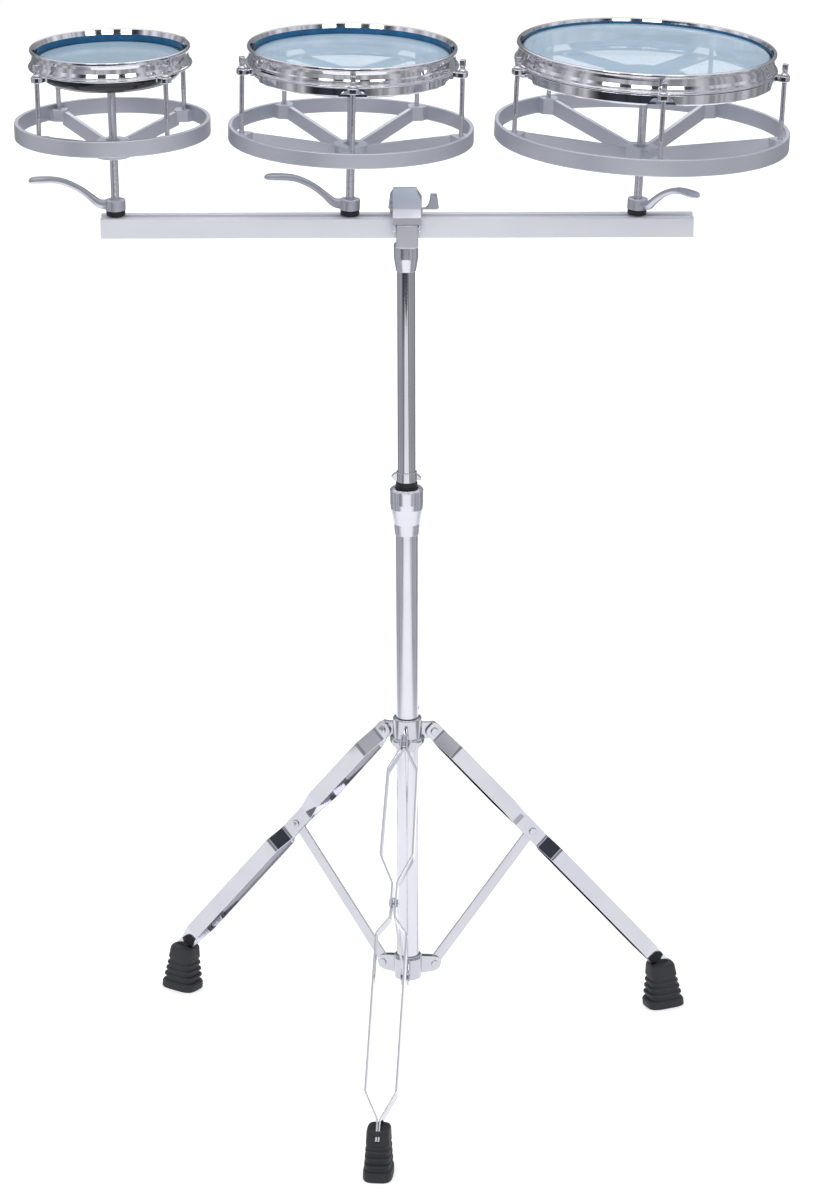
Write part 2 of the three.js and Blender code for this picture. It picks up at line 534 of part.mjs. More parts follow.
// Brace: a flat bar from the bracket up to the leg's middle pin, as steep as the leg.
function brace(azimuth) {
  const w = BRACE_WIDTH / 2;
  const nose = [[w * 0.9, -w * 0.43], [w * 0.5, -w * 0.86], [-w * 0.2, -w]];
  const far = nose.map(([x, z]) => [LINK + x, z]);
  const near = nose.map(([x, z]) => [-x, z]);
  const lower = [...near, [4, -w], [LINK - 4, -w], ...far.slice().reverse()];
  const outline = [...lower, ...lower.map(([x, z]) => [x, -z]).reverse()];
  const bar = upright(outline, -BRACE_THICK / 2, BRACE_THICK / 2);
  const drilled = cut(bar, pinY(PIN_R + 0.5, -5, 5, LINK, 0));
  drilled.rotateY(-THREE.MathUtils.degToRad(90 - LEG_ANGLE)).translate(PIVOT_R, 0, BRACE_PIVOT_Z);
  return around(drilled, azimuth);
}

// Foot: a ribbed rubber shoe that stands upright under the leg's end, with a pocket for the strips.
const FOOT_LEVELS = [
  // height, half length along the leg's azimuth, half width across it
  [0, 22, 15.5], [9, 22, 15.5], [14, 20, 14.4], [32, 16.6, 13.2], [FOOT_HEIGHT - 2, 14.6, 12.4],
  [FOOT_HEIGHT, 13, 11],
];

function foot(azimuth) {
  const corners = 3;
  const ring = FOOT_LEVELS.map(([z, a, b]) => {
    const middle = FOOT_R - (5 * z) / FOOT_HEIGHT;
    return [[1, 1], [-1, 1], [-1, -1], [1, -1]].flatMap(([sx, sy], quarter) =>
      Array.from({ length: corners }, (_, i) => {
        const t = ((quarter + i / (corners - 1)) * Math.PI) / 2;
        const round = 5;
        return [middle + sx * (a - round) + round * Math.cos(t), sy * (b - round) + round * Math.sin(t), z];
      }));
  });
  const shoe = stacked(ring);
  const reach = STRIP_WIDTH / 2 + 0.4;
  const inPocket = block(330, STRIP_END + GAP, -2.7, 2.7, -reach, reach);
  const splay = [[380, -18], [400, -11.5], [418, -2.7], [418, 2.7], [400, 11.5], [380, 18]];
  const flare = slab(splay, -reach, reach);
  return cut(around(shoe, azimuth), alongLeg(inPocket, azimuth), alongLeg(flare, azimuth));
}

// A closed body through level rings of equal length, lowest first, each going round anticlockwise.
function stacked(rings) {
  const count = rings[0].length;
  const points = rings.flat(2);
  const faces = [];
  for (let level = 0; level < rings.length - 1; level++)
    for (let i = 0; i < count; i++) {
      const a = level * count + i;
      const b = level * count + ((i + 1) % count);
      faces.push(a, b, b + count, a, b + count, a + count);
    }
  const last = (rings.length - 1) * count;
  for (let i = 1; i < count - 1; i++) faces.push(0, i + 1, i, last, last + i, last + i + 1);
  const geometry = new THREE.BufferGeometry();
  geometry.setAttribute("position", new THREE.BufferAttribute(new Float32Array(points), 3));
  geometry.setIndex(faces);
  return geometry;
}

function buildTripod(set) {
  piece(set, "leg_collar", "chrome", legCollar());
  piece(set, "collar_wing_screw", "chrome", collarScrew());
  piece(set, "brace_bracket", "chrome", braceBracket());
  Object.entries(LEG_AZIMUTHS).forEach(([name, azimuth]) => buildLeg(set, name, azimuth));
}

const set = new THREE.Group();
buildTripod(set);
buildColumn(set);
buildRailClamp(set);
DRUMS.forEach((drum) => buildDrum(set, drum));

// The set's own frame: origin on the floor in the middle of its bounding box.
set.updateMatrixWorld(true);
const middle = new THREE.Box3().setFromObject(set, true).getCenter(new THREE.Vector3());
set.position.set(-middle.x, -middle.y, 0);

const rototoms = new THREE.Group();
rototoms.add(set);

export default rototoms;
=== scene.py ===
# Looks of the rototom set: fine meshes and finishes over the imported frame. Shapes are in millimetres.
import json
import math

import bmesh
import bpy
from mathutils import Matrix, Vector


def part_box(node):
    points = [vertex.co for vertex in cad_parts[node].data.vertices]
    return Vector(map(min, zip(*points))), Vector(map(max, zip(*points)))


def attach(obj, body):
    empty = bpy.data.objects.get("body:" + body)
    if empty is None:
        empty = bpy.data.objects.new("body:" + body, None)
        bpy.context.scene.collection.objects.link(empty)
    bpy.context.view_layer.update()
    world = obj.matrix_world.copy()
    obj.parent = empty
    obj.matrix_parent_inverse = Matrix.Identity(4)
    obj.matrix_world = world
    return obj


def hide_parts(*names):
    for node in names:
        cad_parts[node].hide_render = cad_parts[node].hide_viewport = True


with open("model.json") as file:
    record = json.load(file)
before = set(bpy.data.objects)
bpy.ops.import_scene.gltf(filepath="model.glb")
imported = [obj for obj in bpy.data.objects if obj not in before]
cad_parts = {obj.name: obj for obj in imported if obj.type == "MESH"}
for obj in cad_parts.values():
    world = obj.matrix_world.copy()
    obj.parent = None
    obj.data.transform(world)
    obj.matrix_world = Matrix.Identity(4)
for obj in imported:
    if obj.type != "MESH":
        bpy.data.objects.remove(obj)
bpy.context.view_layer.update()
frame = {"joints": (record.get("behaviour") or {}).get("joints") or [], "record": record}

MM = 0.001
INCH = 25.4
WELD = 1e-4
CREASE = 32
CORNER = 50
PLAY = 0.3
RECORD = frame["record"]
BODY_OF = {node: body for body, nodes in RECORD["behaviour"]["bodies"].items() for node in nodes}
JOINTS = {joint["name"]: joint for joint in frame["joints"]}


def middle(node):
    low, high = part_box(node)
    return (low + high) / 2


column = middle("upper_tube")
STAND = Matrix.Translation((column.x, column.y, 0)) @ Matrix.Scale(MM, 4)


# Finishes

def principled(name):
    material = bpy.data.materials.new(name)
    material.use_nodes = True
    tree = material.node_tree
    shader = tree.nodes["Principled BSDF"]
    place = tree.nodes.new("ShaderNodeTexCoord").outputs["Object"]
    return material, tree, shader, place


def scaled_noise(tree, place, scale, detail, stretch=(1, 1, 1)):
    mapping = tree.nodes.new("ShaderNodeMapping")
    mapping.inputs["Scale"].default_value = stretch
    noise = tree.nodes.new("ShaderNodeTexNoise")
    noise.inputs["Scale"].default_value = scale
    noise.inputs["Detail"].default_value = detail
    tree.links.new(place, mapping.inputs["Vector"])
    tree.links.new(mapping.outputs["Vector"], noise.inputs["Vector"])
    return noise.outputs["Fac"]


def spread(tree, value, low, high, from_low=0.3, from_high=0.7):
    rescale = tree.nodes.new("ShaderNodeMapRange")
    rescale.inputs["From Min"].default_value = from_low
    rescale.inputs["From Max"].default_value = from_high
    rescale.inputs["To Min"].default_value = low
    rescale.inputs["To Max"].default_value = high
    tree.links.new(value, rescale.inputs["Value"])
    return rescale.outputs["Result"]


def blended(tree, value, dark, light):
    ramp = tree.nodes.new("ShaderNodeMix")
    ramp.data_type = "RGBA"
    ramp.inputs["A"].default_value = (*dark, 1)
    ramp.inputs["B"].default_value = (*light, 1)
    tree.links.new(value, ramp.inputs["Factor"])
    return ramp.outputs["Result"]


def bumped(tree, shader, value, strength, depth):
    bump = tree.nodes.new("ShaderNodeBump")
    bump.inputs["Strength"].default_value = strength
    bump.inputs["Distance"].default_value = depth
    tree.links.new(value, bump.inputs["Height"])
    tree.links.new(bump.outputs["Normal"], shader.inputs["Normal"])


def metal(name, dark, light, rough_low, rough_high, grain, stretch=(1, 1, 1), bump=0.0, metallic=1.0):
    """Plated or cast metal: cloudy colour, uneven polish and a fine grain."""
    material, tree, shader, place = principled(name)
    shader.inputs["Metallic"].default_value = metallic
    clouds = scaled_noise(tree, place, 14, 2)
    fine = scaled_noise(tree, place, grain, 4, stretch)
    tree.links.new(blended(tree, spread(tree, clouds, 0, 1), dark, light), shader.inputs["Base Color"])
    tree.links.new(spread(tree, fine, rough_low, rough_high), shader.inputs["Roughness"])
    if bump:
        bumped(tree, shader, fine, bump, 0.0002)
    return material


def plastic(name, dark, light, rough_low, rough_high, grain, bump):
    material, tree, shader, place = principled(name)
    fine = scaled_noise(tree, place, grain, 5)
    tree.links.new(blended(tree, spread(tree, fine, 0, 1), dark, light), shader.inputs["Base Color"])
    tree.links.new(spread(tree, fine, rough_low, rough_high), shader.inputs["Roughness"])
    bumped(tree, shader, fine, bump, 0.0003)
    return material


def film():
    """Pale blue see-through drum head film."""
    material, tree, shader, place = principled("head_film")
    haze = scaled_noise(tree, place, 9, 2)
    tree.links.new(blended(tree, spread(tree, haze, 0, 1), (0.58, 0.77, 0.90), (0.61, 0.79, 0.91)),
                   shader.inputs["Base Color"])
    tree.links.new(spread(tree, haze, 0.10, 0.16), shader.inputs["Roughness"])
    shader.inputs["Alpha"].default_value = 0.50
    shader.inputs["IOR"].default_value = 1.45
    return material


MATERIALS = {
    "chrome": metal("chrome", (0.67, 0.675, 0.71), (0.72, 0.72, 0.75), 0.04, 0.09, 60),
    # dark blue metal laid inside each rim: a painted reflection of the blue film
    "painted_film_reflection": metal("painted_film_reflection", (0.04, 0.16, 0.30), (0.06, 0.20, 0.36), 0.06, 0.12, 60),
    # nearly black chrome for the dished frame: a painted dark reflection, where plain chrome would mirror the
    # room
    "chrome_painted_dark": metal("chrome_painted_dark", (0.035, 0.035, 0.04), (0.05, 0.05, 0.055), 0.03, 0.06, 60),
    "satin_chrome": metal("satin_chrome", (0.64, 0.65, 0.70), (0.68, 0.69, 0.73), 0.15, 0.21, 90,
                          (1, 1, 0.2)),
    "stand_chrome": metal("stand_chrome", (0.53, 0.53, 0.57), (0.58, 0.58, 0.61), 0.04, 0.08, 90,
                          (1, 1, 0.2)),
    "cast_aluminium": metal("cast_aluminium", (0.61, 0.63, 0.69), (0.65, 0.665, 0.72), 0.36, 0.46, 420,
                            (1, 1, 3), 0.25, 0.8),
    "polished_cast": metal("polished_cast", (0.62, 0.63, 0.68), (0.66, 0.67, 0.71), 0.32, 0.40, 420,
                           (1, 1, 3), 0.1, 0.9),
    "rail_aluminium": metal("rail_aluminium", (0.84, 0.85, 0.89), (0.87, 0.88, 0.91), 0.40, 0.50, 300,
                            (0.1, 4, 4), 0.12, 0.15),
    "lever_aluminium": metal("lever_aluminium", (0.56, 0.57, 0.63), (0.60, 0.61, 0.66), 0.28, 0.36, 420,
                             (1, 1, 1), 0.1, 0.9),
    "steel": metal("steel", (0.66, 0.66, 0.71), (0.72, 0.72, 0.76), 0.16, 0.26, 250),
    "nylon": plastic("nylon", (0.008, 0.008, 0.010), (0.014, 0.014, 0.018), 0.35, 0.5, 200, 0.15),
    "rubber": plastic("rubber", (0.010, 0.011, 0.013), (0.020, 0.021, 0.024), 0.5, 0.72, 350, 0.4),
    "film": film(),
}


# Shapes in the plane

def rounded(corners, steps=4):
    """A closed outline of (x, y, radius) corners with arcs in place of the corners that have a radius."""
    outline = []
    count = len(corners)
    for i, (x, y, radius) in enumerate(corners):
        here = Vector((x, y))
        if radius <= 0:
            outline.append(here)
            continue
        before = Vector(corners[i - 1][:2]) - here
        after = Vector(corners[(i + 1) % count][:2]) - here
        half = before.angle(after) / 2
        reach = min(radius / math.tan(half), before.length * 0.49, after.length * 0.49)
        radius = reach * math.tan(half)
        centre = here + (before.normalized() + after.normalized()).normalized() * radius / math.sin(half)
        start = here + before.normalized() * reach - centre
        end = here + after.normalized() * reach - centre
        sweep = start.angle_signed(end)
        for k in range(steps + 1):
            outline.append(centre + Matrix.Rotation(-sweep * k / steps, 2) @ start)
    return [(p.x, p.y) for p in outline]


# Solids

def finish_mesh(bm, name):
    bmesh.ops.remove_doubles(bm, verts=bm.verts, dist=WELD)
    bmesh.ops.recalc_face_normals(bm, faces=bm.faces)
    mesh = bpy.data.meshes.new(name)
    bm.to_mesh(mesh)
    bm.free()
    solid = bpy.data.objects.new(name, mesh)
    bpy.context.scene.collection.objects.link(solid)
    return solid


def skin(rings):
    """A body through rings of points, each ring the same length, closed by the first and the last."""
    bm = bmesh.new()
    rows = [[bm.verts.new(p) for p in ring] for ring in rings]
    count = len(rows[0])
    for low, high in zip(rows, rows[1:]):
        for i in range(count):
            j = (i + 1) % count
            bm.faces.new((low[i], low[j], high[j], high[i]))
    bm.faces.new(rows[0][::-1])
    bm.faces.new(rows[-1])
    return finish_mesh(bm, "skin")


def turned(outline, segments=96):
    """A closed (radius, height) outline turned about Z; points on the axis close it there."""
    bm = bmesh.new()
    turns = [2 * math.pi * k / segments for k in range(segments)]
    columns = []
    for r, z in outline:
        if r < 1e-6:
            columns.append([bm.verts.new((0, 0, z))] * segments)
        else:
            columns.append([bm.verts.new((r * math.cos(t), r * math.sin(t), z)) for t in turns])
    count = len(columns)
    for i in range(count):
        a, b = columns[i], columns[(i + 1) % count]
        if a[0] is a[1] and b[0] is b[1]:
            continue
        for k in range(segments):
            n = (k + 1) % segments
            corners = []
            for v in (a[k], a[n], b[n], b[k]):
                if v not in corners:
                    corners.append(v)
            bm.faces.new(corners)
    return finish_mesh(bm, "turned")


def pipe(inner, outer, low, high, soft=0.4, segments=64):
    wall = [(inner, low, soft), (outer, low, soft), (outer, high, soft), (inner, high, soft)]
    return turned(rounded(wall, 3), segments)


def rod(radius, low, high, soft=0.4, segments=32):
    half = [(0, low, 0), (radius, low, soft), (radius, high, soft), (0, high, 0)]
    return turned(rounded(half, 3), segments)


def bevel_edges(bm, width, steps, angle):
    """Softens the edges whose faces turn by more than the angle."""
    edges = [e for e in bm.edges if len(e.link_faces) == 2 and e.calc_face_angle() > math.radians(angle)]
    bmesh.ops.bevel(bm, geom=edges, offset=width, segments=steps, affect="EDGES", profile=0.5,
                    clamp_overlap=True)


def slab(outline, low, high, soft=0.0):
    """A flat outline made thick along Z, with its long edges softened."""
    bm = bmesh.new()
    bottom = bm.faces.new([bm.verts.new((x, y, low)) for x, y in outline])
    top = bmesh.ops.extrude_face_region(bm, geom=[bottom])
    raised = [v for v in top["geom"] if isinstance(v, bmesh.types.BMVert)]
    bmesh.ops.translate(bm, vec=(0, 0, high - low), verts=raised)
    bmesh.ops.recalc_face_normals(bm, faces=bm.faces)
    if soft:
        bevel_edges(bm, soft, 3, CORNER)
    return finish_mesh(bm, "slab")


def upright(outline, y0, y1, soft=0.0):
    """The same, drawn in X and Z and made thick along Y."""
    solid = slab(outline, -y1, -y0, soft)
    return moved(solid, Matrix.Rotation(math.pi / 2, 4, "X"))


def across(outline, x0, x1, soft=0.0):
    """The same, drawn in Y and Z and made thick along X."""
    solid = slab(outline, x0, x1, soft)
    return moved(solid, Matrix.Rotation(math.pi / 2, 4, "Z") @ Matrix.Rotation(math.pi / 2, 4, "X"))


def block(x0, x1, y0, y1, z0, z1, soft=0.6):
    return slab([(x0, y0), (x1, y0), (x1, y1), (x0, y1)], z0, z1, soft)


def moved(solid, matrix):
    solid.data.transform(matrix)
    if matrix.determinant() < 0:
        solid.data.flip_normals()
    return solid


def shifted(solid, x=0.0, y=0.0, z=0.0):
    return moved(solid, Matrix.Translation((x, y, z)))


def spun(solid, degrees):
    return moved(solid, Matrix.Rotation(math.radians(degrees), 4, "Z"))


def combined(base, others, operation):
    """The base with other solids joined to it or cut from it."""
    for other in others:
        step = base.modifiers.new("step", "BOOLEAN")
        step.operation = operation
        step.solver = "MANIFOLD"
        step.object = other
    result = bpy.data.meshes.new_from_object(base.evaluated_get(bpy.context.evaluated_depsgraph_get()))
    base.modifiers.clear()
    base.data = result
    for other in others:
        bpy.data.objects.remove(other)
    return base


def union(base, *others):
    return combined(base, others, "UNION")


def cut(base, *others):
    return combined(base, others, "DIFFERENCE")


def softened(solid, width, steps=2, angle=CORNER):
    bm = bmesh.new()
    bm.from_mesh(solid.data)
    bevel_edges(bm, width, steps, angle)
    bm.to_mesh(solid.data)
    bm.free()
    return solid


def gathered(name, solids):
    """Separate solids of one piece, kept as one object."""
    bm = bmesh.new()
    for solid in solids:
        bm.from_mesh(solid.data)
        bpy.data.objects.remove(solid)
    mesh = bpy.data.meshes.new(name)
    bm.to_mesh(mesh)
    bm.free()
    piece = bpy.data.objects.new(name, mesh)
    bpy.context.scene.collection.objects.link(piece)
    return piece


def dress(solid, name, node, place, material):
    """Puts a finished solid in its place on the body that holds the node, in place of the node."""
    solid.name = name
    moved(solid, place)
    solid.data.shade_smooth()
    solid.data.set_sharp_from_angle(angle=math.radians(CREASE))
    solid.data.materials.clear()
    solid.data.materials.append(MATERIALS[material])
    solid.modifiers.new("normals", "WEIGHTED_NORMAL").keep_sharp = True
    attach(solid, BODY_OF[node])
    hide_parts(node)


def threaded(radius, low, high, pitch, depth, columns=20):
    """A rod with a screw thread, its crest following one helix."""
    rows_per_turn = 4
    run_in = 0.3
    rows = int((high - low) / pitch * rows_per_turn)
    turns = [2 * math.pi * k / columns for k in range(columns)]
    core = radius * 0.7
    rings = [[(core * math.cos(t), core * math.sin(t), low) for t in turns]]
    for row in range(rows + 1):
        z = low + run_in + row * (high - low - 2 * run_in) / rows
        ring = []
        for k, t in enumerate(turns):
            phase = (z / pitch - k / columns) % 1
            r = radius - depth * abs(2 * phase - 1)
            ring.append((r * math.cos(t), r * math.sin(t), z))
        rings.append(ring)
    rings.append([(x, y, high) for x, y, _ in rings[0]])
    return skin(rings)


# Camera and light: the photograph's own view
EYE_HEIGHT = 2222.6
EYE_DISTANCE = 4989.7
EYE_SIDE = 1.6
PITCH = 18.84
ROLL = -0.147
FOCAL_PX = 4990
IMAGE_HEIGHT = 1200
SENSOR = 36

camera_data = bpy.data.cameras.new("camera")
camera_data.sensor_width = SENSOR
camera_data.lens = FOCAL_PX * SENSOR / IMAGE_HEIGHT
camera_data.clip_end = 100
camera = bpy.data.objects.new("camera", camera_data)
bpy.context.scene.collection.objects.link(camera)
eye = STAND @ Vector((EYE_SIDE, -EYE_DISTANCE, EYE_HEIGHT))
turn = Matrix.Rotation(math.radians(90 - PITCH), 4, "X") @ Matrix.Rotation(math.radians(ROLL), 4, "Z")
camera.matrix_world = Matrix.Translation(eye) @ turn
bpy.context.scene.camera = camera


def light(name, position, target, width, height, power):
    data = bpy.data.lights.new(name, "AREA")
    data.shape = "RECTANGLE"
    data.size = width
    data.size_y = height
    data.energy = power
    lamp = bpy.data.objects.new(name, data)
    bpy.context.scene.collection.objects.link(lamp)
    lamp.location = position
    lamp.rotation_euler = (Vector(target) - Vector(position)).to_track_quat("-Z", "Y").to_euler()


def smooth_step(tree, value, low, high, start=0.0, end=1.0):
    step = tree.nodes.new("ShaderNodeMapRange")
    step.interpolation_type = "SMOOTHSTEP"
    step.inputs["From Min"].default_value = low
    step.inputs["From Max"].default_value = high
    step.inputs["To Min"].default_value = start
    step.inputs["To Max"].default_value = end
    tree.links.new(value, step.inputs["Value"])
    return step.outputs["Result"]


def combine_by(tree, operation, a, b):
    node = tree.nodes.new("ShaderNodeMath")
    node.operation = operation
    tree.links.new(a, node.inputs[0])
    tree.links.new(b, node.inputs[1])
    return node.outputs["Value"]


def masked(tree, first, *others):
    """The product of masks, each from 0 to 1."""
    for other in others:
        first = combine_by(tree, "MULTIPLY", first, other)
    return first


def vector_step(tree, operation, vector):
    node = tree.nodes.new("ShaderNodeVectorMath")
    node.operation = operation
    tree.links.new(vector, node.inputs[0])
    return node


def parts_of(tree, vector):
    parts = tree.nodes.new("ShaderNodeSeparateXYZ")
    tree.links.new(vector, parts.inputs["Vector"])
    return parts.outputs


def laid_over(tree, share, base, colour):
    """The base colour with another one over it, by a share from 0 to 1."""
    mix = tree.nodes.new("ShaderNodeMix")
    mix.data_type = "RGBA"
    mix.inputs["B"].default_value = (*colour, 1)
    tree.links.new(share, mix.inputs["Factor"])
    tree.links.new(base, mix.inputs["A"])
    return mix.outputs["Result"]


WINDOW_X = (-1.8, 0.0, 1.8)
WINDOW_Y = -3.0
WINDOW_Z = 3.3
WINDOW_WIDTH = 1.0
WINDOW_HEIGHT = 0.9
WINDOW_POWER = 14
OVERHEAD_Z = 3.6
OVERHEAD_SIZE = 2.6
OVERHEAD_POWER = 16
REAR_Y = 4.2
REAR_SIZE = 3.4
REAR_POWER = 40

# The room's edges: heights or headings where a mask begins and where it is full
SKY_EDGE = (-0.05, 0.7)
BEHIND_EDGE = (0.25, 0.75)
BACKDROP_EDGE = (0.75, 0.4)
AHEAD_EDGE = (-0.55, -0.75)
LEFT_EDGE = (0.5, 0.2)
NEAR_BAND = ((-0.278, -0.264), (-0.03, -0.08))
FAR_BAND = ((0.36, 0.44), (0.74, 0.64))
ROOM_LOW = 0.55
ROOM_HIGH = 0.95
ROOM_TINT = (0.97, 0.97, 1.03)
ROOM_BEHIND = (0.50, 0.51, 0.55)
ROOM_AHEAD = (0.07, 0.08, 0.10)
STREAK_SCALE = 1.6
STREAK_STRETCH = (3.2, 3.2, 0.5)
STREAK_DARK = 0.60
STREAK_LIGHT = 1.25


def room(tree):
    """What the metal mirrors: bright above, streaked all round, grey behind, two dark bands ahead."""
    direction = tree.nodes.new("ShaderNodeTexCoord").outputs["Generated"]
    parts = parts_of(tree, direction)
    height, depth = parts["Z"], parts["Y"]
    level = vector_step(tree, "MULTIPLY", direction)
    level.inputs[1].default_value = (1, 1, 0)
    compass = vector_step(tree, "NORMALIZE", level.outputs["Vector"]).outputs["Vector"]
    heading = parts_of(tree, compass)

    backdrop = masked(tree, smooth_step(tree, depth, *BEHIND_EDGE), smooth_step(tree, height, *BACKDROP_EDGE))
    near = masked(tree, *(smooth_step(tree, height, *edge) for edge in NEAR_BAND),
                  smooth_step(tree, heading["X"], *LEFT_EDGE))
    far = masked(tree, *(smooth_step(tree, height, *edge) for edge in FAR_BAND))
    ahead = smooth_step(tree, heading["Y"], *AHEAD_EDGE)
    bands = masked(tree, combine_by(tree, "MAXIMUM", near, far), ahead)

    noise = scaled_noise(tree, compass, STREAK_SCALE, 2, STREAK_STRETCH)
    streaks = spread(tree, noise, STREAK_DARK, STREAK_LIGHT, 0.4, 0.6)
    sky = smooth_step(tree, height, *SKY_EDGE, ROOM_LOW, ROOM_HIGH)
    colour = laid_over(tree, bands, blended(tree, backdrop, ROOM_TINT, ROOM_BEHIND), ROOM_AHEAD)
    lit = vector_step(tree, "SCALE", colour)
    tree.links.new(masked(tree, sky, streaks), lit.inputs["Scale"])
    return lit.outputs["Vector"]


def studio():
    """Three window lights over the front, two overhead panels, and the room; white where seen directly."""
    for i, x in enumerate(WINDOW_X):
        light(f"window_{i}", (x, WINDOW_Y, WINDOW_Z), (0, 0, 1.0), WINDOW_WIDTH, WINDOW_HEIGHT, WINDOW_POWER)
    light("overhead", (0, 0.4, OVERHEAD_Z), (0, 0, 0.8), OVERHEAD_SIZE, OVERHEAD_SIZE, OVERHEAD_POWER)
    light("rear_overhead", (0, REAR_Y, OVERHEAD_Z), (0, REAR_Y, 0), REAR_SIZE, REAR_SIZE, REAR_POWER)
    world = bpy.data.worlds.new("studio")
    bpy.context.scene.world = world
    world.use_nodes = True
    tree = world.node_tree
    tree.nodes.clear()
    path = tree.nodes.new("ShaderNodeLightPath")
    background = tree.nodes.new("ShaderNodeBackground")
    output = tree.nodes.new("ShaderNodeOutputWorld")
    seen = laid_over(tree, path.outputs["Is Camera Ray"], room(tree), (1, 1, 1))
    tree.links.new(seen, background.inputs["Color"])
    tree.links.new(background.outputs["Background"], output.inputs["Surface"])
    bpy.context.scene.view_settings.view_transform = "Standard"


FLOOR_SIDE = 1.0
FLOOR_FRONT = -2.9
FLOOR_BACK = 5.0
FLOOR_GLOW = 0.4


def floor():
    material, _, shader, _ = principled("floor")
    shader.inputs["Base Color"].default_value = (0.88, 0.88, 0.88, 1)
    shader.inputs["Roughness"].default_value = 0.9
    shader.inputs["Emission Color"].default_value = (1, 1, 1, 1)
    shader.inputs["Emission Strength"].default_value = FLOOR_GLOW
    mesh = bpy.data.meshes.new("floor")
    front = [(-FLOOR_SIDE, FLOOR_FRONT, 0), (FLOOR_SIDE, FLOOR_FRONT, 0)]
    back = [(FLOOR_SIDE, FLOOR_BACK, 0), (-FLOOR_SIDE, FLOOR_BACK, 0)]
    mesh.from_pydata(front + back, [], [(0, 1, 2, 3)])
    plane = bpy.data.objects.new("floor", mesh)
    bpy.context.scene.collection.objects.link(plane)
    mesh.materials.append(material)


studio()
floor()


# Drums
SLIDE_LIP = 3.5
# Hoop: wall is how far out it stands under the rolled top, lip the depth of the slope inside the top,
# glint the height of the slanted strip below the waist. Lower frame: ring, boss, spoke_dip and hub.
# Upper frame: floor_depth, gap_inner, gap_rim and spoke for its floor, band for an upright wall's overhang
DRUMS = {
    6: dict(rim=178.4, film_drop=12, wall=4.0, lip=5.2, glint=3.4,
            rod_r=92.6, rods=4, first_rod=40, lever=180,
            ring_top=102.3, ring_height=16.8, boss_drop=4.5, boss_height=12.3,
            spoke_dip=3.3, hub=17.5, hub_drop=22, hub_cornered=False,
            floor_depth=37, gap_inner=20, gap_rim=26, spoke=12, band=0),
    8: dict(rim=178.4, film_drop=10, wall=4.0, lip=4.4, glint=1.4,
            rod_r=117.4, rods=5, first_rod=-89, lever=180,
            ring_top=95.3, ring_height=15.5, boss_drop=0.8, boss_height=14.7,
            spoke_dip=0, hub=18.2, hub_drop=19, hub_cornered=False,
            floor_depth=31, gap_inner=30, gap_rim=8, spoke=18, band=3),
    10: dict(rim=177.4, film_drop=5, wall=3.3, lip=3.0, glint=3.0,
             rod_r=143.2, rods=5, first_rod=-85.5, lever=-50,
             ring_top=95.2, ring_height=17.5, boss_drop=0.8, boss_height=16.7,
             spoke_dip=0, hub=20, hub_drop=22, hub_cornered=True,
             floor_depth=32, gap_inner=43, gap_rim=8, spoke=25, band=6),
}
RING_OVERHANG = 24.3
RING_THICK = 4.5
SPOKE_THICK = 5
BOSS_HALF = 10
BOSS_LENGTH = 15
BOSS_SHOULDER = 7
HUB_HEIGHT = 17
EAR_HALF = 5.2
SLANT = 0.45
HOOP_SEAT = 17.3
FLOOR_THICK = 2.4
SPINDLE_R = 4.3
ROD_R = 2.5


def rod_angles(drum):
    return [drum["first_rod"] + 360 * i / drum["rods"] for i in range(drum["rods"])]


def at_rods(drum, make):
    return [spun(make(), angle) for angle in rod_angles(drum)]


def mirrored(points):
    """The points followed by their mirror images in the X axis, back to front."""
    return points + [(x, -y, *rest) for x, y, *rest in reversed(points)]


def hoop(r, drum):
    top = drum["rim"]
    rod_r = drum["rod_r"]
    slant = SLANT * drum["lip"]
    facet = SLANT * drum["glint"]
    profile = [(r + 4.8, -20, 0.4), (r + 7.6, -20, 1.2), (r + 7.6, -17.9, 0.9), (r + 4.4 + facet, -17.2, 0.4),
               (r + 4.0 + facet, -12 - drum["glint"], 0.6), (r + 4.0, -12, 0.8), (r + 3.2, -7.5, 2),
               (r + drum["wall"], -3.8, 1.2), (r + 5.65, -3.2, 1.0), (r + 5.65, 0, 1.6),
               (r + 1.0 + slant, 0, 0.7), (r + 1.0, -drum["lip"], 1.2), (r + 1.0, -13.5, 0.6),
               (r + 4.8, -14.3, 0.4)]
    ring = shifted(turned(rounded(profile, 5), 160), z=top)
    ear = rounded(mirrored([(r + 6.6, 5.4, 0), (r + 9.4, 4.6, 2), (rod_r - 2.5, 6.2, 2),
                            (rod_r + 2, 6.2, 2.4), (rod_r + EAR_HALF, 3.6, 2.4)]), 4)
    ears = at_rods(drum, lambda: slab(ear, top - 23.4, top - 17.5, 0.8))
    bores = at_rods(drum, lambda: shifted(rod(ROD_R + PLAY, top - 30, top - 10, 0), rod_r))
    return cut(union(ring, *ears), *bores)


def head_film(r, drum):
    """The film: flat, then over the bearing edge and down the collar into the flesh hoop."""
    z = -drum["film_drop"]
    outside = [(0, z, 0), (r - 2.2, z, 1.2), (r - 0.3, z - 1.8, 1.4), (r + 0.5, -15.4, 0)]
    inside = [(r - 0.1, -15.4, 0), (r - 0.9, z - 2.1, 1.2), (r - 2.6, z - 0.5, 1), (0, z - 0.5, 0)]
    return shifted(turned(rounded((outside + inside)[::-1], 4), 128), z=drum["rim"])


def film_reflection_band(r, drum):
    """A blue band inside the rim: a painted reflection of the film in the hoop's inner chrome wall."""
    low = -drum["film_drop"] - 0.4
    high = 0.2 - drum["lip"]
    section = [(r + 0.5, low), (r + 1.0, low), (r + 1.0, high), (r + 0.6, high)]
    return shifted(turned(section, 160), z=drum["rim"])


def flesh_hoop(r, top):
    section = [(r - 1.3, -18.4, 0.6), (r + 4.2, -18.4, 0.6), (r + 4.2, -14.9, 0.8), (r - 1.3, -14.9, 0.8)]
    return shifted(turned(rounded(section, 3), 128), z=top)


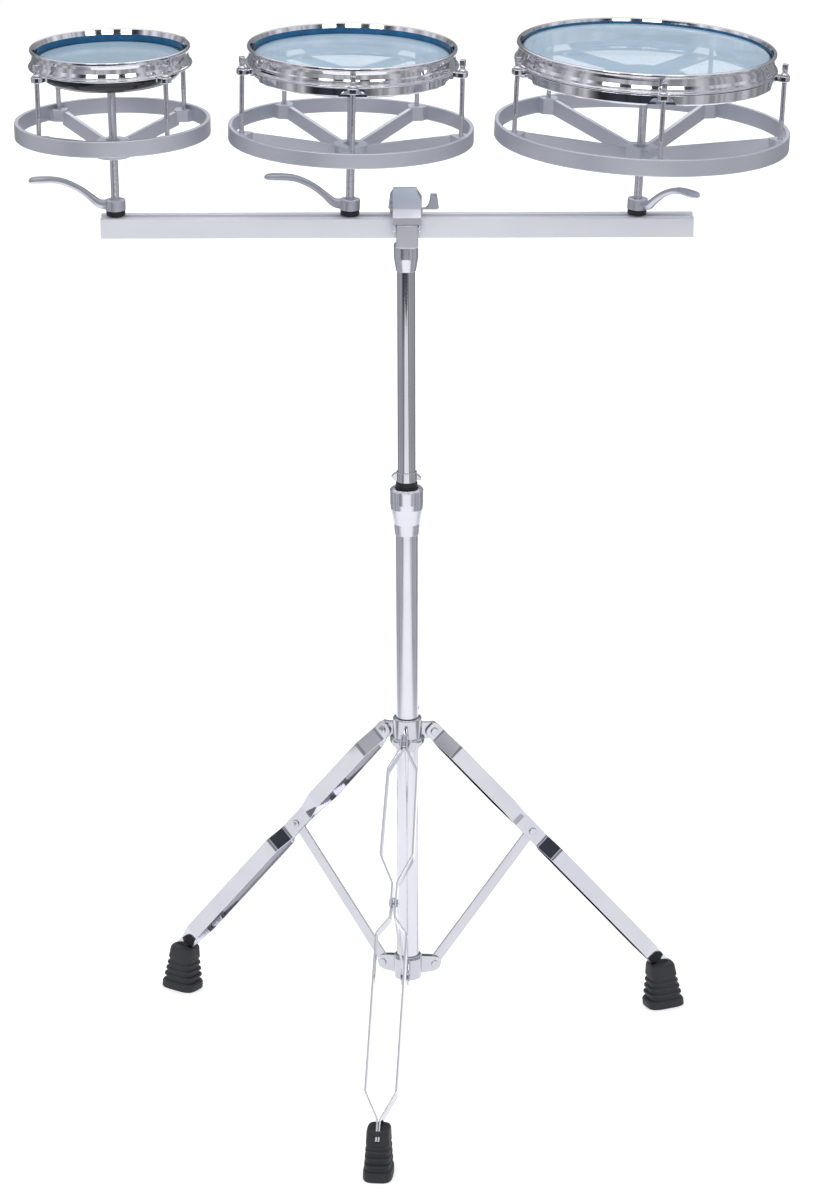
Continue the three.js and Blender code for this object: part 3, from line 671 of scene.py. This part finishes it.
def upper_frame(r, drum):
    top = drum["rim"]
    floor_z = -drum["floor_depth"]
    bearing = -drum["film_drop"] - 1.3
    edge = [(r - 1.9, bearing - 2.1, 0.8), (r - 3.2, bearing, 0.5), (r - 4.6, bearing - 1.3, 0.5)]
    if drum["band"]:
        out = r + drum["band"]
        shell = [(out - 2.2, floor_z, 0.8), (out, floor_z + 1.6, 1.4), (out, -20.8, 0.9),
                 (r - 1.9, -20.8, 0.4)]
        inside = [(r - 4.6, -23, 1), (out - 2.5, -23, 1), (out - 3.6, floor_z + FLOOR_THICK, 0.8)]
    else:
        shell = [(r - 24.2, floor_z, 10), (r - 13.5, -35, 16), (r - 6.6, -31, 14),
                 (r - 2.9, -26, 8), (r - 1.9, -20, 2)]
        inside = [(r - 4.4, -22, 2), (r - 9.4, -30, 10), (r - 24.4, floor_z + FLOOR_THICK, 4)]
    pan = turned(rounded([(0, floor_z, 0), *shell, *edge, *inside, (0, floor_z + FLOOR_THICK, 0)], 6), 144)
    hub = rod(9.5, floor_z + 1, floor_z + 5, 0.8, 48)
    pan = union(pan, hub)
    cutters = [rod(SPINDLE_R + PLAY, floor_z - 2, floor_z + 10, 0)]
    cutters += at_rods(drum, lambda: slab(sector(drum, r), floor_z - 3, floor_z + 8))
    if drum["band"]:
        arch = rounded([(-19, floor_z - 2, 0), (19, floor_z - 2, 0), (15, floor_z + 1.2, 5), (9.5, -23.6, 5),
                        (-9.5, -23.6, 5), (-15, floor_z + 1.2, 5)], 5)
        cutters += at_rods(drum, lambda: spun(upright(arch, r - 3, r + 14), -90))
    return shifted(cut(pan, *cutters), z=top)


def sector(drum, r):
    """The opening between two floor spokes, half a step round from the spokes."""
    step = math.pi / drum["rods"]
    inner, outer = drum["gap_inner"], r - drum["gap_rim"]
    arcs = []
    for radius, way in ((outer, 1), (inner, -1)):
        half = step - math.asin(drum["spoke"] / 2 / radius)
        arcs += [(radius * math.cos(step + way * half * k / 8), radius * math.sin(step + way * half * k / 8))
                 for k in range(-8, 9)]
    return rounded([(x, y, 3 if i in (0, 16, 17, 33) else 0) for i, (x, y) in enumerate(arcs)], 4)


def lower_frame(r, drum):
    """Cast ring, a gusseted boss for every rod, and spokes that slope down to the threaded hub."""
    top = drum["ring_top"]
    low = top - drum["ring_height"]
    outer = r + RING_OVERHANG
    wall = outer - RING_THICK
    half = SPOKE_THICK / 2
    ring = turned(rounded([(wall, low, 0.8), (outer, low, 0.9), (outer, top, 0.9), (wall, top, 0.8)], 3), 160)

    boss_top = top - drum["boss_drop"]
    boss_low = boss_top - drum["boss_height"]
    root = wall - BOSS_LENGTH
    plan = rounded(mirrored([(root - 1, half, 0), (root, half, 2.5), (wall - BOSS_SHOULDER, BOSS_HALF, 1.2),
                             (wall + 2, BOSS_HALF, 0)]), 4)
    bosses = at_rods(drum, lambda: slab(plan, boss_low, boss_top, 0.6))

    hub = drum["hub"]
    hub_top = top - drum["hub_drop"]
    hub_low = hub_top - HUB_HEIGHT
    slope = [(hub - 4, hub_low + 0.9), (root + 3, boss_low - drum["spoke_dip"]), (root + 3, boss_top - 0.1),
             (hub - 4, hub_top - 0.7)]
    spokes = at_rods(drum, lambda: upright(slope, -half, half, 0.7))
    if drum["hub_cornered"]:
        turns = [math.radians(angle) for angle in rod_angles(drum)]
        corners = [(hub * math.cos(t), hub * math.sin(t), 2) for t in turns]
        core = slab(rounded(corners, 4), hub_low, hub_top, 0.7)
    else:
        core = turned(rounded([(0, hub_low, 0), (hub + 2, hub_low, 1), (hub + 2, hub_low + 3, 1.2),
                               (hub, hub_low + 5, 1.2), (hub, hub_top, 1.2), (0, hub_top, 0)], 4), 64)
    sink = turned([(0, hub_top - 5), (5.4, hub_top - 5), (6.6, hub_top - 2.4), (8.2, hub_top + 1),
                   (0, hub_top + 1)], 48)
    bore = rod(SPINDLE_R + PLAY, hub_low - 1, hub_top + 1, 0)
    rod_bores = at_rods(drum, lambda: shifted(rod(ROD_R + PLAY, boss_low - 1, top + 1, 0), drum["rod_r"]))
    return cut(union(ring, core, *bosses, *spokes), sink, bore, *rod_bores)


def tension_rod(drum):
    seat = drum["rim"] - HOOP_SEAT
    low = drum["ring_top"] - drum["ring_height"] + 2
    turn_z = low + (seat - low) * 0.42
    head = block(-2.8, 2.8, -2.8, 2.8, seat + 5.8, seat + 12, 0.5)
    cone = turned(rounded([(0, seat, 0), (4.1, seat, 0.4), (4.1, seat + 1.3, 0.4), (2.7, seat + 2.4, 0.8),
                           (2.9, seat + 6.4, 0.8), (0, seat + 6.4, 0)], 3), 32)
    shank = rod(ROD_R, turn_z, seat + 2, 0.3)
    thread = threaded(ROD_R - 0.05, low, turn_z + 0.4, 0.8, 0.06, 20)
    collar_r = ROD_R + 0.25
    collar = turned(rounded([(0, turn_z - 0.6, 0), (collar_r, turn_z - 0.6, 0.2),
                             (collar_r, turn_z + 1.4, 0.2), (0, turn_z + 1.4, 0)], 2), 24)
    return gathered("rod", [head, cone, shank, thread, collar])


def spindle(drum):
    floor_z = drum["rim"] - drum["floor_depth"]
    foot_top = -SLIDE_LIP - 0.7
    foot = block(-8, 8, -8.1, 8.1, foot_top - 6, foot_top, 0.6)
    shaft = threaded(SPINDLE_R, foot_top - 1, floor_z - 3, 1.25, 0.08, 36)
    shoulder = turned(rounded([(0, floor_z - 4, 0), (5.6, floor_z - 4, 1.2), (7, floor_z - 1.6, 1),
                               (7, floor_z - 0.3, 0.3), (SPINDLE_R, floor_z - 0.3, 0),
                               (SPINDLE_R, floor_z + 6, 1), (0, floor_z + 6, 0)], 4), 48)
    return gathered("spindle", [foot, shaft, shoulder])


def washer():
    return pipe(SPINDLE_R + PLAY, 9.8, 0.8, 6.2, 0.7, 64)


def lever(drum):
    low, high = 6.5, 18.0
    hub = turned(rounded([(0, low, 0), (10.4, low, 0.5), (10.4, high - 0.4, 1.2), (8.6, high, 0.6),
                          (0, high, 0)], 4), 64)
    # distance from the spindle, height, thickness and half width along the arm
    stations = [(4, 12.2, 10.2, 4.7), (12, 12.4, 9.6, 4.5), (18, 14.2, 8.2, 4.2), (26, 21.1, 6.6, 3.9),
                (36, 28.8, 6.2, 3.7), (46, 34.2, 6.2, 3.8), (56, 37.9, 6.2, 4.2), (66, 39.2, 6.3, 4.9),
                (76, 39.2, 6.3, 5.9), (83, 39.0, 5.8, 5.9), (86.8, 38.5, 4.2, 4.4), (88.2, 38.2, 1.8, 2.2)]
    fine = 3
    rings = []
    for i in range(len(stations) - 1):
        for k in range(fine):
            rings.append(smooth_between(stations, i, k / fine))
    rings.append(stations[-1])
    body = []
    for i, (x, z, thick, half) in enumerate(rings):
        before = rings[max(i - 1, 0)]
        after = rings[min(i + 1, len(rings) - 1)]
        slope = math.atan2(after[1] - before[1], after[0] - before[0])
        lean, rise = math.sin(slope), math.cos(slope)
        body.append([(x - lean * v, u, z + rise * v) for u, v in blade(half, thick / 2)])
    arm = skin(body)
    whole = cut(union(hub, arm), rod(SPINDLE_R + 0.35, -1, 45, 0))
    return spun(whole, drum["lever"])


def blade(half, thick):
    """The arm's section: a ridge along each side between an upright face and one that slants in below it."""
    side = [(0.92 * half, thick, 0.3 * thick), (half, -0.05 * thick, 0.12 * thick),
            (0.45 * half, -thick, 0.25 * thick)]
    return rounded(side + [(-x, z, radius) for x, z, radius in reversed(side)], 3)


def smooth_between(rows, i, t):
    """A point on the smooth curve through rows of numbers, a share t of the way from row i to the next."""
    p0, p1 = rows[max(i - 1, 0)], rows[i]
    p2, p3 = rows[i + 1], rows[min(i + 2, len(rows) - 1)]
    return tuple(0.5 * (2 * b + (c - a) * t + (2 * a - 5 * b + 4 * c - d) * t * t
                        + (3 * b - a - 3 * c + d) * t ** 3)
                 for a, b, c, d in zip(p0, p1, p2, p3))


def build_drum(size, drum):
    tag = f"{size}in"
    joint = JOINTS[f"drum_{tag}_turn"]
    lean = math.atan2(joint["axis"][0], joint["axis"][2])
    place = Matrix.Translation(joint["pos_m"]) @ Matrix.Rotation(lean, 4, "Y") @ Matrix.Scale(MM, 4)
    r = size * INCH / 2
    dress(hoop(r, drum), f"rim_hoop_{tag}", f"hoop_{tag}", place, "chrome")
    dress(head_film(r, drum), f"drum_head_{tag}", f"head_{tag}", place, "film")
    # the band inside the rim carries a painted reflection of the film
    dress(film_reflection_band(r, drum), f"film_reflection_band_{tag}", f"hoop_{tag}", place, "painted_film_reflection")
    dress(flesh_hoop(r, drum["rim"]), f"flesh_hoop_{tag}", f"head_{tag}", place, "steel")
    # the frame without a band, the dished one, gets nearly black chrome: a painted dark reflection
    chrome_or_painted_dark = "chrome" if drum["band"] else "chrome_painted_dark"
    dress(upper_frame(r, drum), f"chrome_frame_{tag}", f"upper_frame_{tag}", place, chrome_or_painted_dark)
    dress(lower_frame(r, drum), f"cast_frame_{tag}", f"lower_frame_{tag}", place, "cast_aluminium")
    dress(spindle(drum), f"screw_spindle_{tag}", f"spindle_{tag}", place, "steel")
    dress(washer(), f"black_washer_{tag}", f"washer_{tag}", place, "nylon")
    dress(lever(drum), f"locking_lever_{tag}", f"lever_{tag}", place, "lever_aluminium")
    for i, angle in enumerate(rod_angles(drum)):
        fastener = spun(shifted(tension_rod(drum), drum["rod_r"]), angle)
        dress(fastener, f"tuning_rod_{tag}_{i + 1}", f"tension_rod_{tag}_{i + 1}", place, "steel")


for size, drum in DRUMS.items():
    build_drum(size, drum)

# Stand
LEG_AZIMUTHS = {"front": -95.65, "right": 24.35, "left": 144.35}
PIVOT_R = 30
COLLAR_PIVOT_Z = 369
LINK = 178.5
LEG_ANGLE = 41.14
STRIP_WIDTH = 17
STRIP_END = 440
BRACE_PIVOT_Z = COLLAR_PIVOT_Z - 2 * LINK * math.cos(math.radians(LEG_ANGLE))
LOWER_TUBE_R = 12
UPPER_TUBE_R = 9.525
TUBE_WALL = 1.5
SCREW_AZIMUTH = LEG_AZIMUTHS["right"] + 60
COLLAR_SCREW_Z = 379
HEIGHT_SCREW_Z = 632
CLAMP_X = 1.2
CLAMP_SCREW = Vector((7.9, 46, 0))
CLAMP_PIN_Y = -18.9
CLAMP_PIN_Z = 929.4
SEAT = 932
RAIL_MIDDLE = -9.2
RAIL_HALF = 304.8
FOOT_R = 312.2
FOOT_HEIGHT = 52
FOOT_LEAN = 5
FOOT_SQUARENESS = 0.55


def pin_x(radius, x0, x1, y=0.0, z=0.0, soft=0.4):
    place = Matrix.Translation((0, y, z)) @ Matrix.Rotation(math.pi / 2, 4, "Y")
    return moved(rod(radius, x0, x1, soft), place)


def pin_y(radius, y0, y1, x=0.0, z=0.0, soft=0.4):
    place = Matrix.Translation((x, 0, z)) @ Matrix.Rotation(math.pi / 2, 4, "X")
    return moved(rod(radius, -y1, -y0, soft), place)


def wings(span, low, high, thick):
    """Two rounded ears of a wing screw about Z, joined to its hub by a thin web."""
    rise = high - low
    ear = [(3, low, 0), (span * 0.94, low, 2), (span, low + rise * 0.1, 2), (span * 0.92, high, 1.6),
           (span * 0.67, high, 1.6), (span * 0.61, low + rise * 0.45, 6), (span * 0.53, low + rise * 0.2, 4),
           (span * 0.42, low + rise * 0.15, 1), (3, low + rise * 0.15, 0)]
    left = [(-x, z, r) for x, z, r in ear][::-1]
    return [upright(rounded(side, 4), -thick / 2, thick / 2, thick * 0.3) for side in (ear, left)]


def wing_screw(shaft, base, hub_high, hub_r, span, low, high, thick):
    hub = turned(rounded([(0, base, 0), (hub_r, base, 0.5), (hub_r * 0.9, hub_high, 1.4),
                          (0, hub_high, 0)], 4), 40)
    stem = threaded(2.9, shaft, base + 0.6, 1.25, 0.4, 16)
    return gathered("screw", [union(hub, *wings(span, low, high, thick)), stem])


def height_clamp():
    bore = LOWER_TUBE_R + PLAY
    shell = turned(rounded([(bore, 594, 0.2), (bore + 0.8, 594, 0.5), (14.2, 606, 6), (17.4, 623, 8),
                            (17.75, 629, 3), (17.75, 642.8, 1.2), (16, 645, 1.0), (bore, 645, 0.4)], 5), 96)
    boss = pin_y(6, 14, 24, 0, HEIGHT_SCREW_Z, 0.8)
    return cut(union(shell, boss), rod(bore, 590, 650, 0, 96), pin_y(3.4, 10, 30, 0, HEIGHT_SCREW_Z))


def bushing():
    bore = UPPER_TUBE_R + PLAY
    outline = [(bore, 635.4, 0), (11.6, 635.4, 0.3), (11.6, 645.3, 0), (11.4, 645.3, 0), (11.4, 651.6, 0.8),
               (bore, 651.6, 0.4)]
    return turned(rounded(outline, 3), 80)


def memory_lock():
    bore = UPPER_TUBE_R + PLAY
    section = [(bore, 652, 0.3), (10.9, 652, 0.5), (10.9, 662.8, 0.7), (bore, 662.8, 0.3)]
    band = turned(rounded(section, 3), 80)
    left = rounded([(-16.4, 657.8, 1.2), (-13, 661.5, 2), (-8, 662.2, 0), (-8, 653, 0),
                    (-13.5, 653.6, 1.6)], 4)
    right = rounded([(8, 653, 0), (15.6, 653, 0.8), (15.2, 655.6, 0.9), (10.6, 660, 1.5), (8, 660.4, 0)], 4)
    ears = [upright(left, -4, 1, 0.7), upright(right, -1, 4, 0.7)]
    return cut(union(band, *ears), rod(bore, 640, 670, 0, 80))


def clamp_neck():
    bore = UPPER_TUBE_R + PLAY
    return turned(rounded([(bore, 880, 0.2), (bore + 0.7, 880, 0.4), (12.8, 894, 8), (12.8, 908.2, 0),
                           (0, 908.2, 0), (0, 903, 0), (bore, 903, 0)], 6), 96)


def clamp_base():
    saddle = shifted(block(-11.5, 11.5, -17, 21, 908, 917.4, 1.0), CLAMP_X)
    face = rounded([(-8.3, 908.2, 2), (8.3, 908.2, 2), (11.5, 921, 4), (11.5, 933.5, 1.4),
                    (-11.5, 933.5, 1.4), (-11.5, 921, 4)], 4)
    front = shifted(upright(face, -21.5, -15.9, 1.6), CLAMP_X)
    lug = rounded([(-8, 18, 1), (12, 18, 1), (15.6, 38, 6), (15.6, 57, 3), (0, 57, 3), (-3, 38, 6)], 4)
    body = union(saddle, front, slab(lug, 908, 916, 1.0))
    x, y = CLAMP_SCREW.x, CLAMP_SCREW.y
    cut(body, block(x - 3.5, x + 3.5, y - 4, y + 6, 900, 920, 0))
    return gathered("base", [body, pin_x(2, CLAMP_X - 14.8, CLAMP_X + 14.2, CLAMP_PIN_Y, CLAMP_PIN_Z)])


def clamp_jaw():
    tail = SEAT - 0.3
    outer = [(-22.4, 926, 2), (-22.6, 934, 4), (-21.4, 941, 6), (-17, 949.5, 8), (-9, 958, 8), (0, 964.2, 6),
             (4, 966.6, 3), (11, 966.3, 4), (15, 961, 6), (18.7, 952, 4), (18.8, tail, 2), (58, tail, 1.4)]
    inner = [(58, tail - 4.4, 1.4), (15.5, tail - 4.4, 1), (15.5, 939.2, 0.6), (10, 939.2, 0.6), (10, 943, 1),
             (13.5, 947, 2), (12.5, 956, 3), (9, 960.8, 2), (0, 959, 4), (-7, 954, 6), (-12.5, 947, 6),
             (-13.5, 939.2, 0.8), (-17.6, 939.2, 0.6), (-17.2, 934.4, 0), (-16, 934.2, 0), (-15.9, 926, 0.5)]
    arch = across(rounded(outer + inner, 5), -17, 18)
    plan = rounded([(-13.6, -25, 0), (15.4, -25, 0), (15.4, -3, 0.6), (16.4, -2, 0.6), (16.4, 19, 1),
                    (17.4, 36, 5), (17.4, 55, 3), (15, 58, 2), (1, 58, 2), (-1.4, 55, 3), (-1.4, 36, 5),
                    (-12, 19, 3), (-16.4, 19, 2), (-16.4, -2, 0.6), (-13.6, -3, 0.6)], 3)
    face = rounded([(-18, 920, 0), (18, 920, 0), (18, 953, 0), (16.4, 955, 3), (11.6, 963.4, 3),
                    (11.6, 970, 0), (-13.4, 970, 0), (-13.4, 963.4, 2), (-16.4, 957.5, 3), (-18, 956, 0)], 4)
    shape = combined(arch, [slab(plan, 920, 972), upright(face, -30, 62)], "INTERSECT")
    x, y = CLAMP_SCREW.x, CLAMP_SCREW.y
    space = shifted(block(-11.9, 11.9, -23, -15, 920, 934.2, 0), CLAMP_X)
    mouth = block(x - 3.6, x + 3.6, y - 3.6, 60, tail - 6, tail + 2, 0)
    cut(shape, space, pin_x(2.5, -17, 17, CLAMP_PIN_Y, CLAMP_PIN_Z, 0), mouth)
    return softened(shape, 0.7, 3, 35)


def rail():
    half, mouth, inside = 14.4, 4.9, 8.6
    low, top = 917.9, 938.6
    lip, slot = top - SLIDE_LIP, top - 11.7
    section = [(-half, low, 0.7), (half, low, 0.7), (half, top, 0.9), (mouth, top, 0.4), (mouth, lip, 0.3),
               (inside, lip, 0.3), (inside, slot, 0.5), (-inside, slot, 0.5), (-inside, lip, 0.3),
               (-mouth, lip, 0.3), (-mouth, top, 0.4), (-half, top, 1.6)]
    return across(rounded(section, 3), RAIL_MIDDLE - RAIL_HALF, RAIL_MIDDLE + RAIL_HALF, 0.25)


def leg_collar():
    bore = LOWER_TUBE_R + PLAY
    body = turned(rounded([(bore, 353, 0.2), (bore + 0.7, 353, 0.3), (18.5, 361.2, 5), (18.5, 366.8, 1.6),
                           (15.5, 367.2, 1), (15.5, 388.3, 1.5), (14, 389.6, 0.6), (13.6, 386.8, 0.6),
                           (bore, 386.6, 0)], 4), 96)
    lug = rounded([(14, 361, 0), (30, 361, 6), (36.5, 364, 3), (38, 369, 4), (36.5, 374, 3), (30, 378.5, 6),
                   (14, 381, 0)], 4)
    lugs = []
    for azimuth in LEG_AZIMUTHS.values():
        plate = cut(upright(lug, -2, 2, 0.5), pin_y(3.1, -6, 6, PIVOT_R, COLLAR_PIVOT_Z))
        lugs.append(spun(plate, azimuth))
    boss = spun(pin_x(5.5, 14, 20, 0, COLLAR_SCREW_Z, 0.8), SCREW_AZIMUTH)
    screw_hole = spun(pin_x(3.4, 11, 22, 0, COLLAR_SCREW_Z), SCREW_AZIMUTH)
    return cut(union(body, boss, *lugs), screw_hole, rod(bore, 350, 392, 0, 96))


def brace_bracket():
    bore = LOWER_TUBE_R + PLAY
    z = BRACE_PIVOT_Z
    ring = turned(rounded([(0, 89.6, 0), (14.6, 89.6, 1), (15.2, z + 12.6, 1.5), (14.2, z + 16, 0.8),
                           (bore, z + 16, 0.3), (bore, 91.7, 0), (0, 91.7, 0)], 4), 80)
    plate = rounded([(13, z - 8, 0), (30, z - 8.5, 6), (35.5, z - 6.5, 3), (38.5, z, 5), (35.5, z + 6.5, 3),
                     (30, z + 8.5, 6), (13, z + 12, 0)], 4)
    ears = []
    for azimuth in LEG_AZIMUTHS.values():
        for side in (1, -1):
            near, far = sorted((side * 2.2, side * 4.2))
            ear = upright(plate, near, far, 0.4)
            out = side * 3.9
            rivet = pin_y(4, *sorted((out, out + side * 1.4)), PIVOT_R, z, 0.7)
            ears.append(spun(union(ear, rivet), azimuth))
    return union(ring, *ears)


def from_pivot(azimuth, z, tip):
    """The place of a leg or a brace: X runs out from its pivot at height z, tipped down by an angle."""
    outward = STAND @ Matrix.Rotation(math.radians(azimuth), 4, "Z") @ Matrix.Translation((PIVOT_R, 0, z))
    return outward @ Matrix.Rotation(math.radians(tip), 4, "Y")


STRIP_BOW = [(-8.5, 3.3, 0), (8, 3.3, 9), (31, 15.4, 9), (127, 17, 9), (158, 2.5, 9), (196, 2.5, 9),
             (214, 16, 9), (386, 16, 9), (416, 1.3, 9), (STRIP_END, 1.3, 0)]


def leg_strip(side):
    """A bowed strip lying on one side of the leg's own plane."""
    middle_line = [Vector(p) for p in rounded(STRIP_BOW, 8)]
    outside, inside = [], []
    for i, p in enumerate(middle_line):
        way = (middle_line[min(i + 1, len(middle_line) - 1)] - middle_line[max(i - 1, 0)]).normalized()
        across_way = Vector((-way.y, way.x))
        outside.append(p + across_way)
        inside.append(p - across_way)
    outline = [(p.x, side * p.y) for p in outside + inside[::-1]]
    half = STRIP_WIDTH / 2
    band = slab(outline, -half, half)
    face = rounded([(-8.5, -half, 6), (STRIP_END, -half, 0), (STRIP_END, half, 0), (-8.5, half, 6)], 6)
    trimmed = combined(band, [upright(face, -25, 25)], "INTERSECT")
    return softened(trimmed, 0.45)


def rivets():
    """The two pins of a leg, with a round head on either side."""
    solids = []
    for s, y in ((0, 3.3), (LINK, 2.5)):
        solids.append(pin_y(2.6, -y - 2.2, y + 2.4, s, 0, 0.6))
        for way in (-1, 1):
            face = way * (y + 0.9)
            solids.append(pin_y(4.2, *sorted((face, face + way * 1.5)), s, 0, 1.1))
    return solids


def brace_bar():
    half = 6
    outline = rounded([(-5.8, -half, 5.4), (LINK + 5.8, -half, 5.4), (LINK + 5.8, half, 5.4),
                       (-5.8, half, 5.4)], 8)
    bar = upright(outline, -1.2, 1.2, 0.35)
    return cut(bar, pin_y(3.1, -5, 5, LINK, 0))


# Height, half length along the leg and half width of a ribbed foot
FOOT_LEVELS = [(0, 21.2, 14.7), (1.2, 22, 15.5), (7.5, 22, 15.5), (9.6, 20.6, 14.8), (10.6, 18.2, 13.4),
               (14.2, 17.8, 13.2), (15.2, 20.2, 14.4), (17.2, 20.0, 14.3), (18.4, 17.2, 13.0),
               (21.4, 16.8, 12.9), (22.4, 18.8, 13.9), (24.4, 18.6, 13.8), (25.6, 16.2, 12.7),
               (28.6, 15.8, 12.6), (29.6, 17.4, 13.5), (31.6, 17.2, 13.4), (32.8, 15.4, 12.4),
               (36.2, 15.2, 12.3), (37.4, 16.4, 13.0), (49.2, 14.8, 12.4), (51.4, 13.6, 11.4),
               (FOOT_HEIGHT, 12.4, 10.4)]


def foot(azimuth):
    columns = 48
    rings = []
    for z, a, b in FOOT_LEVELS:
        centre = FOOT_R - FOOT_LEAN * z / FOOT_HEIGHT
        ring = []
        for k in range(columns):
            t = 2 * math.pi * k / columns
            c, s = math.cos(t), math.sin(t)
            along = math.copysign(abs(c) ** FOOT_SQUARENESS, c)
            beside = math.copysign(abs(s) ** FOOT_SQUARENESS, s)
            ring.append((centre + a * along, b * beside, z))
        rings.append(ring)
    shoe = spun(skin(rings), azimuth)
    leg = STAND.inverted() @ from_pivot(azimuth, COLLAR_PIVOT_Z, 90 - LEG_ANGLE)
    pocket = moved(block(330, STRIP_END + PLAY, -2.7, 2.7, -8.9, 8.9, 0), leg)
    throat = [(380, -18), (400, -11.5), (418, -2.7), (418, 2.7), (400, 11.5), (380, 18)]
    return cut(shoe, pocket, moved(slab(throat, -8.9, 8.9), leg))


def build_stand():
    lower = pipe(LOWER_TUBE_R - TUBE_WALL, LOWER_TUBE_R, 92, 635, 0.4, 128)
    upper = pipe(UPPER_TUBE_R - TUBE_WALL, UPPER_TUBE_R, 340, 901, 0.4, 128)
    dress(lower, "column_lower_tube", "lower_tube", STAND, "satin_chrome")
    dress(upper, "column_upper_tube", "upper_tube", STAND, "stand_chrome")
    dress(height_clamp(), "height_clamp_casting", "height_clamp", STAND, "satin_chrome")
    dress(bushing(), "bushing_sleeve", "clamp_bushing", STAND, "nylon")
    back = (STAND @ (Matrix.Translation((0, 0, HEIGHT_SCREW_Z)) @ Matrix.Rotation(-math.pi / 2, 4, "X")
                     @ Matrix.Rotation(math.radians(25), 4, "Z")))
    screw = wing_screw(shaft=12.6, base=24.3, hub_high=30.3, hub_r=5, span=14, low=27.3, high=37.3, thick=3)
    dress(screw, "height_screw_wing", "height_wing_screw", back, "stand_chrome")
    dress(memory_lock(), "memory_lock_ring", "memory_lock", STAND, "stand_chrome")
    dress(clamp_neck(), "clamp_neck", "rail_clamp_base", STAND, "satin_chrome")
    dress(clamp_base(), "clamp_base_casting", "rail_clamp_base", STAND, "polished_cast")
    dress(clamp_jaw(), "clamp_jaw_casting", "rail_clamp_jaw", STAND, "polished_cast")
    over = STAND @ Matrix.Translation(CLAMP_SCREW)
    screw = wing_screw(shaft=905, base=SEAT, hub_high=SEAT + 6, hub_r=5.9, span=26.4, low=SEAT + 0.7,
                       high=SEAT + 18.2, thick=3.4)
    dress(screw, "clamp_screw_wing", "rail_clamp_wing_screw", over, "stand_chrome")
    dress(rail(), "rail_extrusion", "rail", STAND, "rail_aluminium")
    dress(leg_collar(), "collar_casting", "leg_collar", STAND, "stand_chrome")
    beside = (STAND @ (Matrix.Rotation(math.radians(SCREW_AZIMUTH), 4, "Z")
                       @ Matrix.Translation((0, 0, COLLAR_SCREW_Z))
                       @ Matrix.Rotation(math.pi / 2, 4, "Y") @ Matrix.Rotation(0.75, 4, "Z")))
    screw = wing_screw(shaft=12.6, base=22, hub_high=28, hub_r=5, span=13.5, low=26, high=38, thick=3)
    dress(screw, "collar_screw_wing", "collar_wing_screw", beside, "stand_chrome")
    dress(brace_bracket(), "bracket_plates", "brace_bracket", STAND, "stand_chrome")
    for name, azimuth in LEG_AZIMUTHS.items():
        leg = from_pivot(azimuth, COLLAR_PIVOT_Z, 90 - LEG_ANGLE)
        pinned = gathered("strip", [leg_strip(-1), *rivets()])
        dress(pinned, f"strip_{name}_pinned", f"leg_{name}_pinned_strip", leg, "stand_chrome")
        dress(leg_strip(1), f"strip_{name}_holed", f"leg_{name}_holed_strip", leg, "stand_chrome")
        dress(foot(azimuth), f"rubber_foot_{name}", f"foot_{name}", STAND, "rubber")
        rise = from_pivot(azimuth, BRACE_PIVOT_Z, LEG_ANGLE - 90)
        dress(brace_bar(), f"brace_bar_{name}", f"brace_{name}", rise, "stand_chrome")


build_stand()
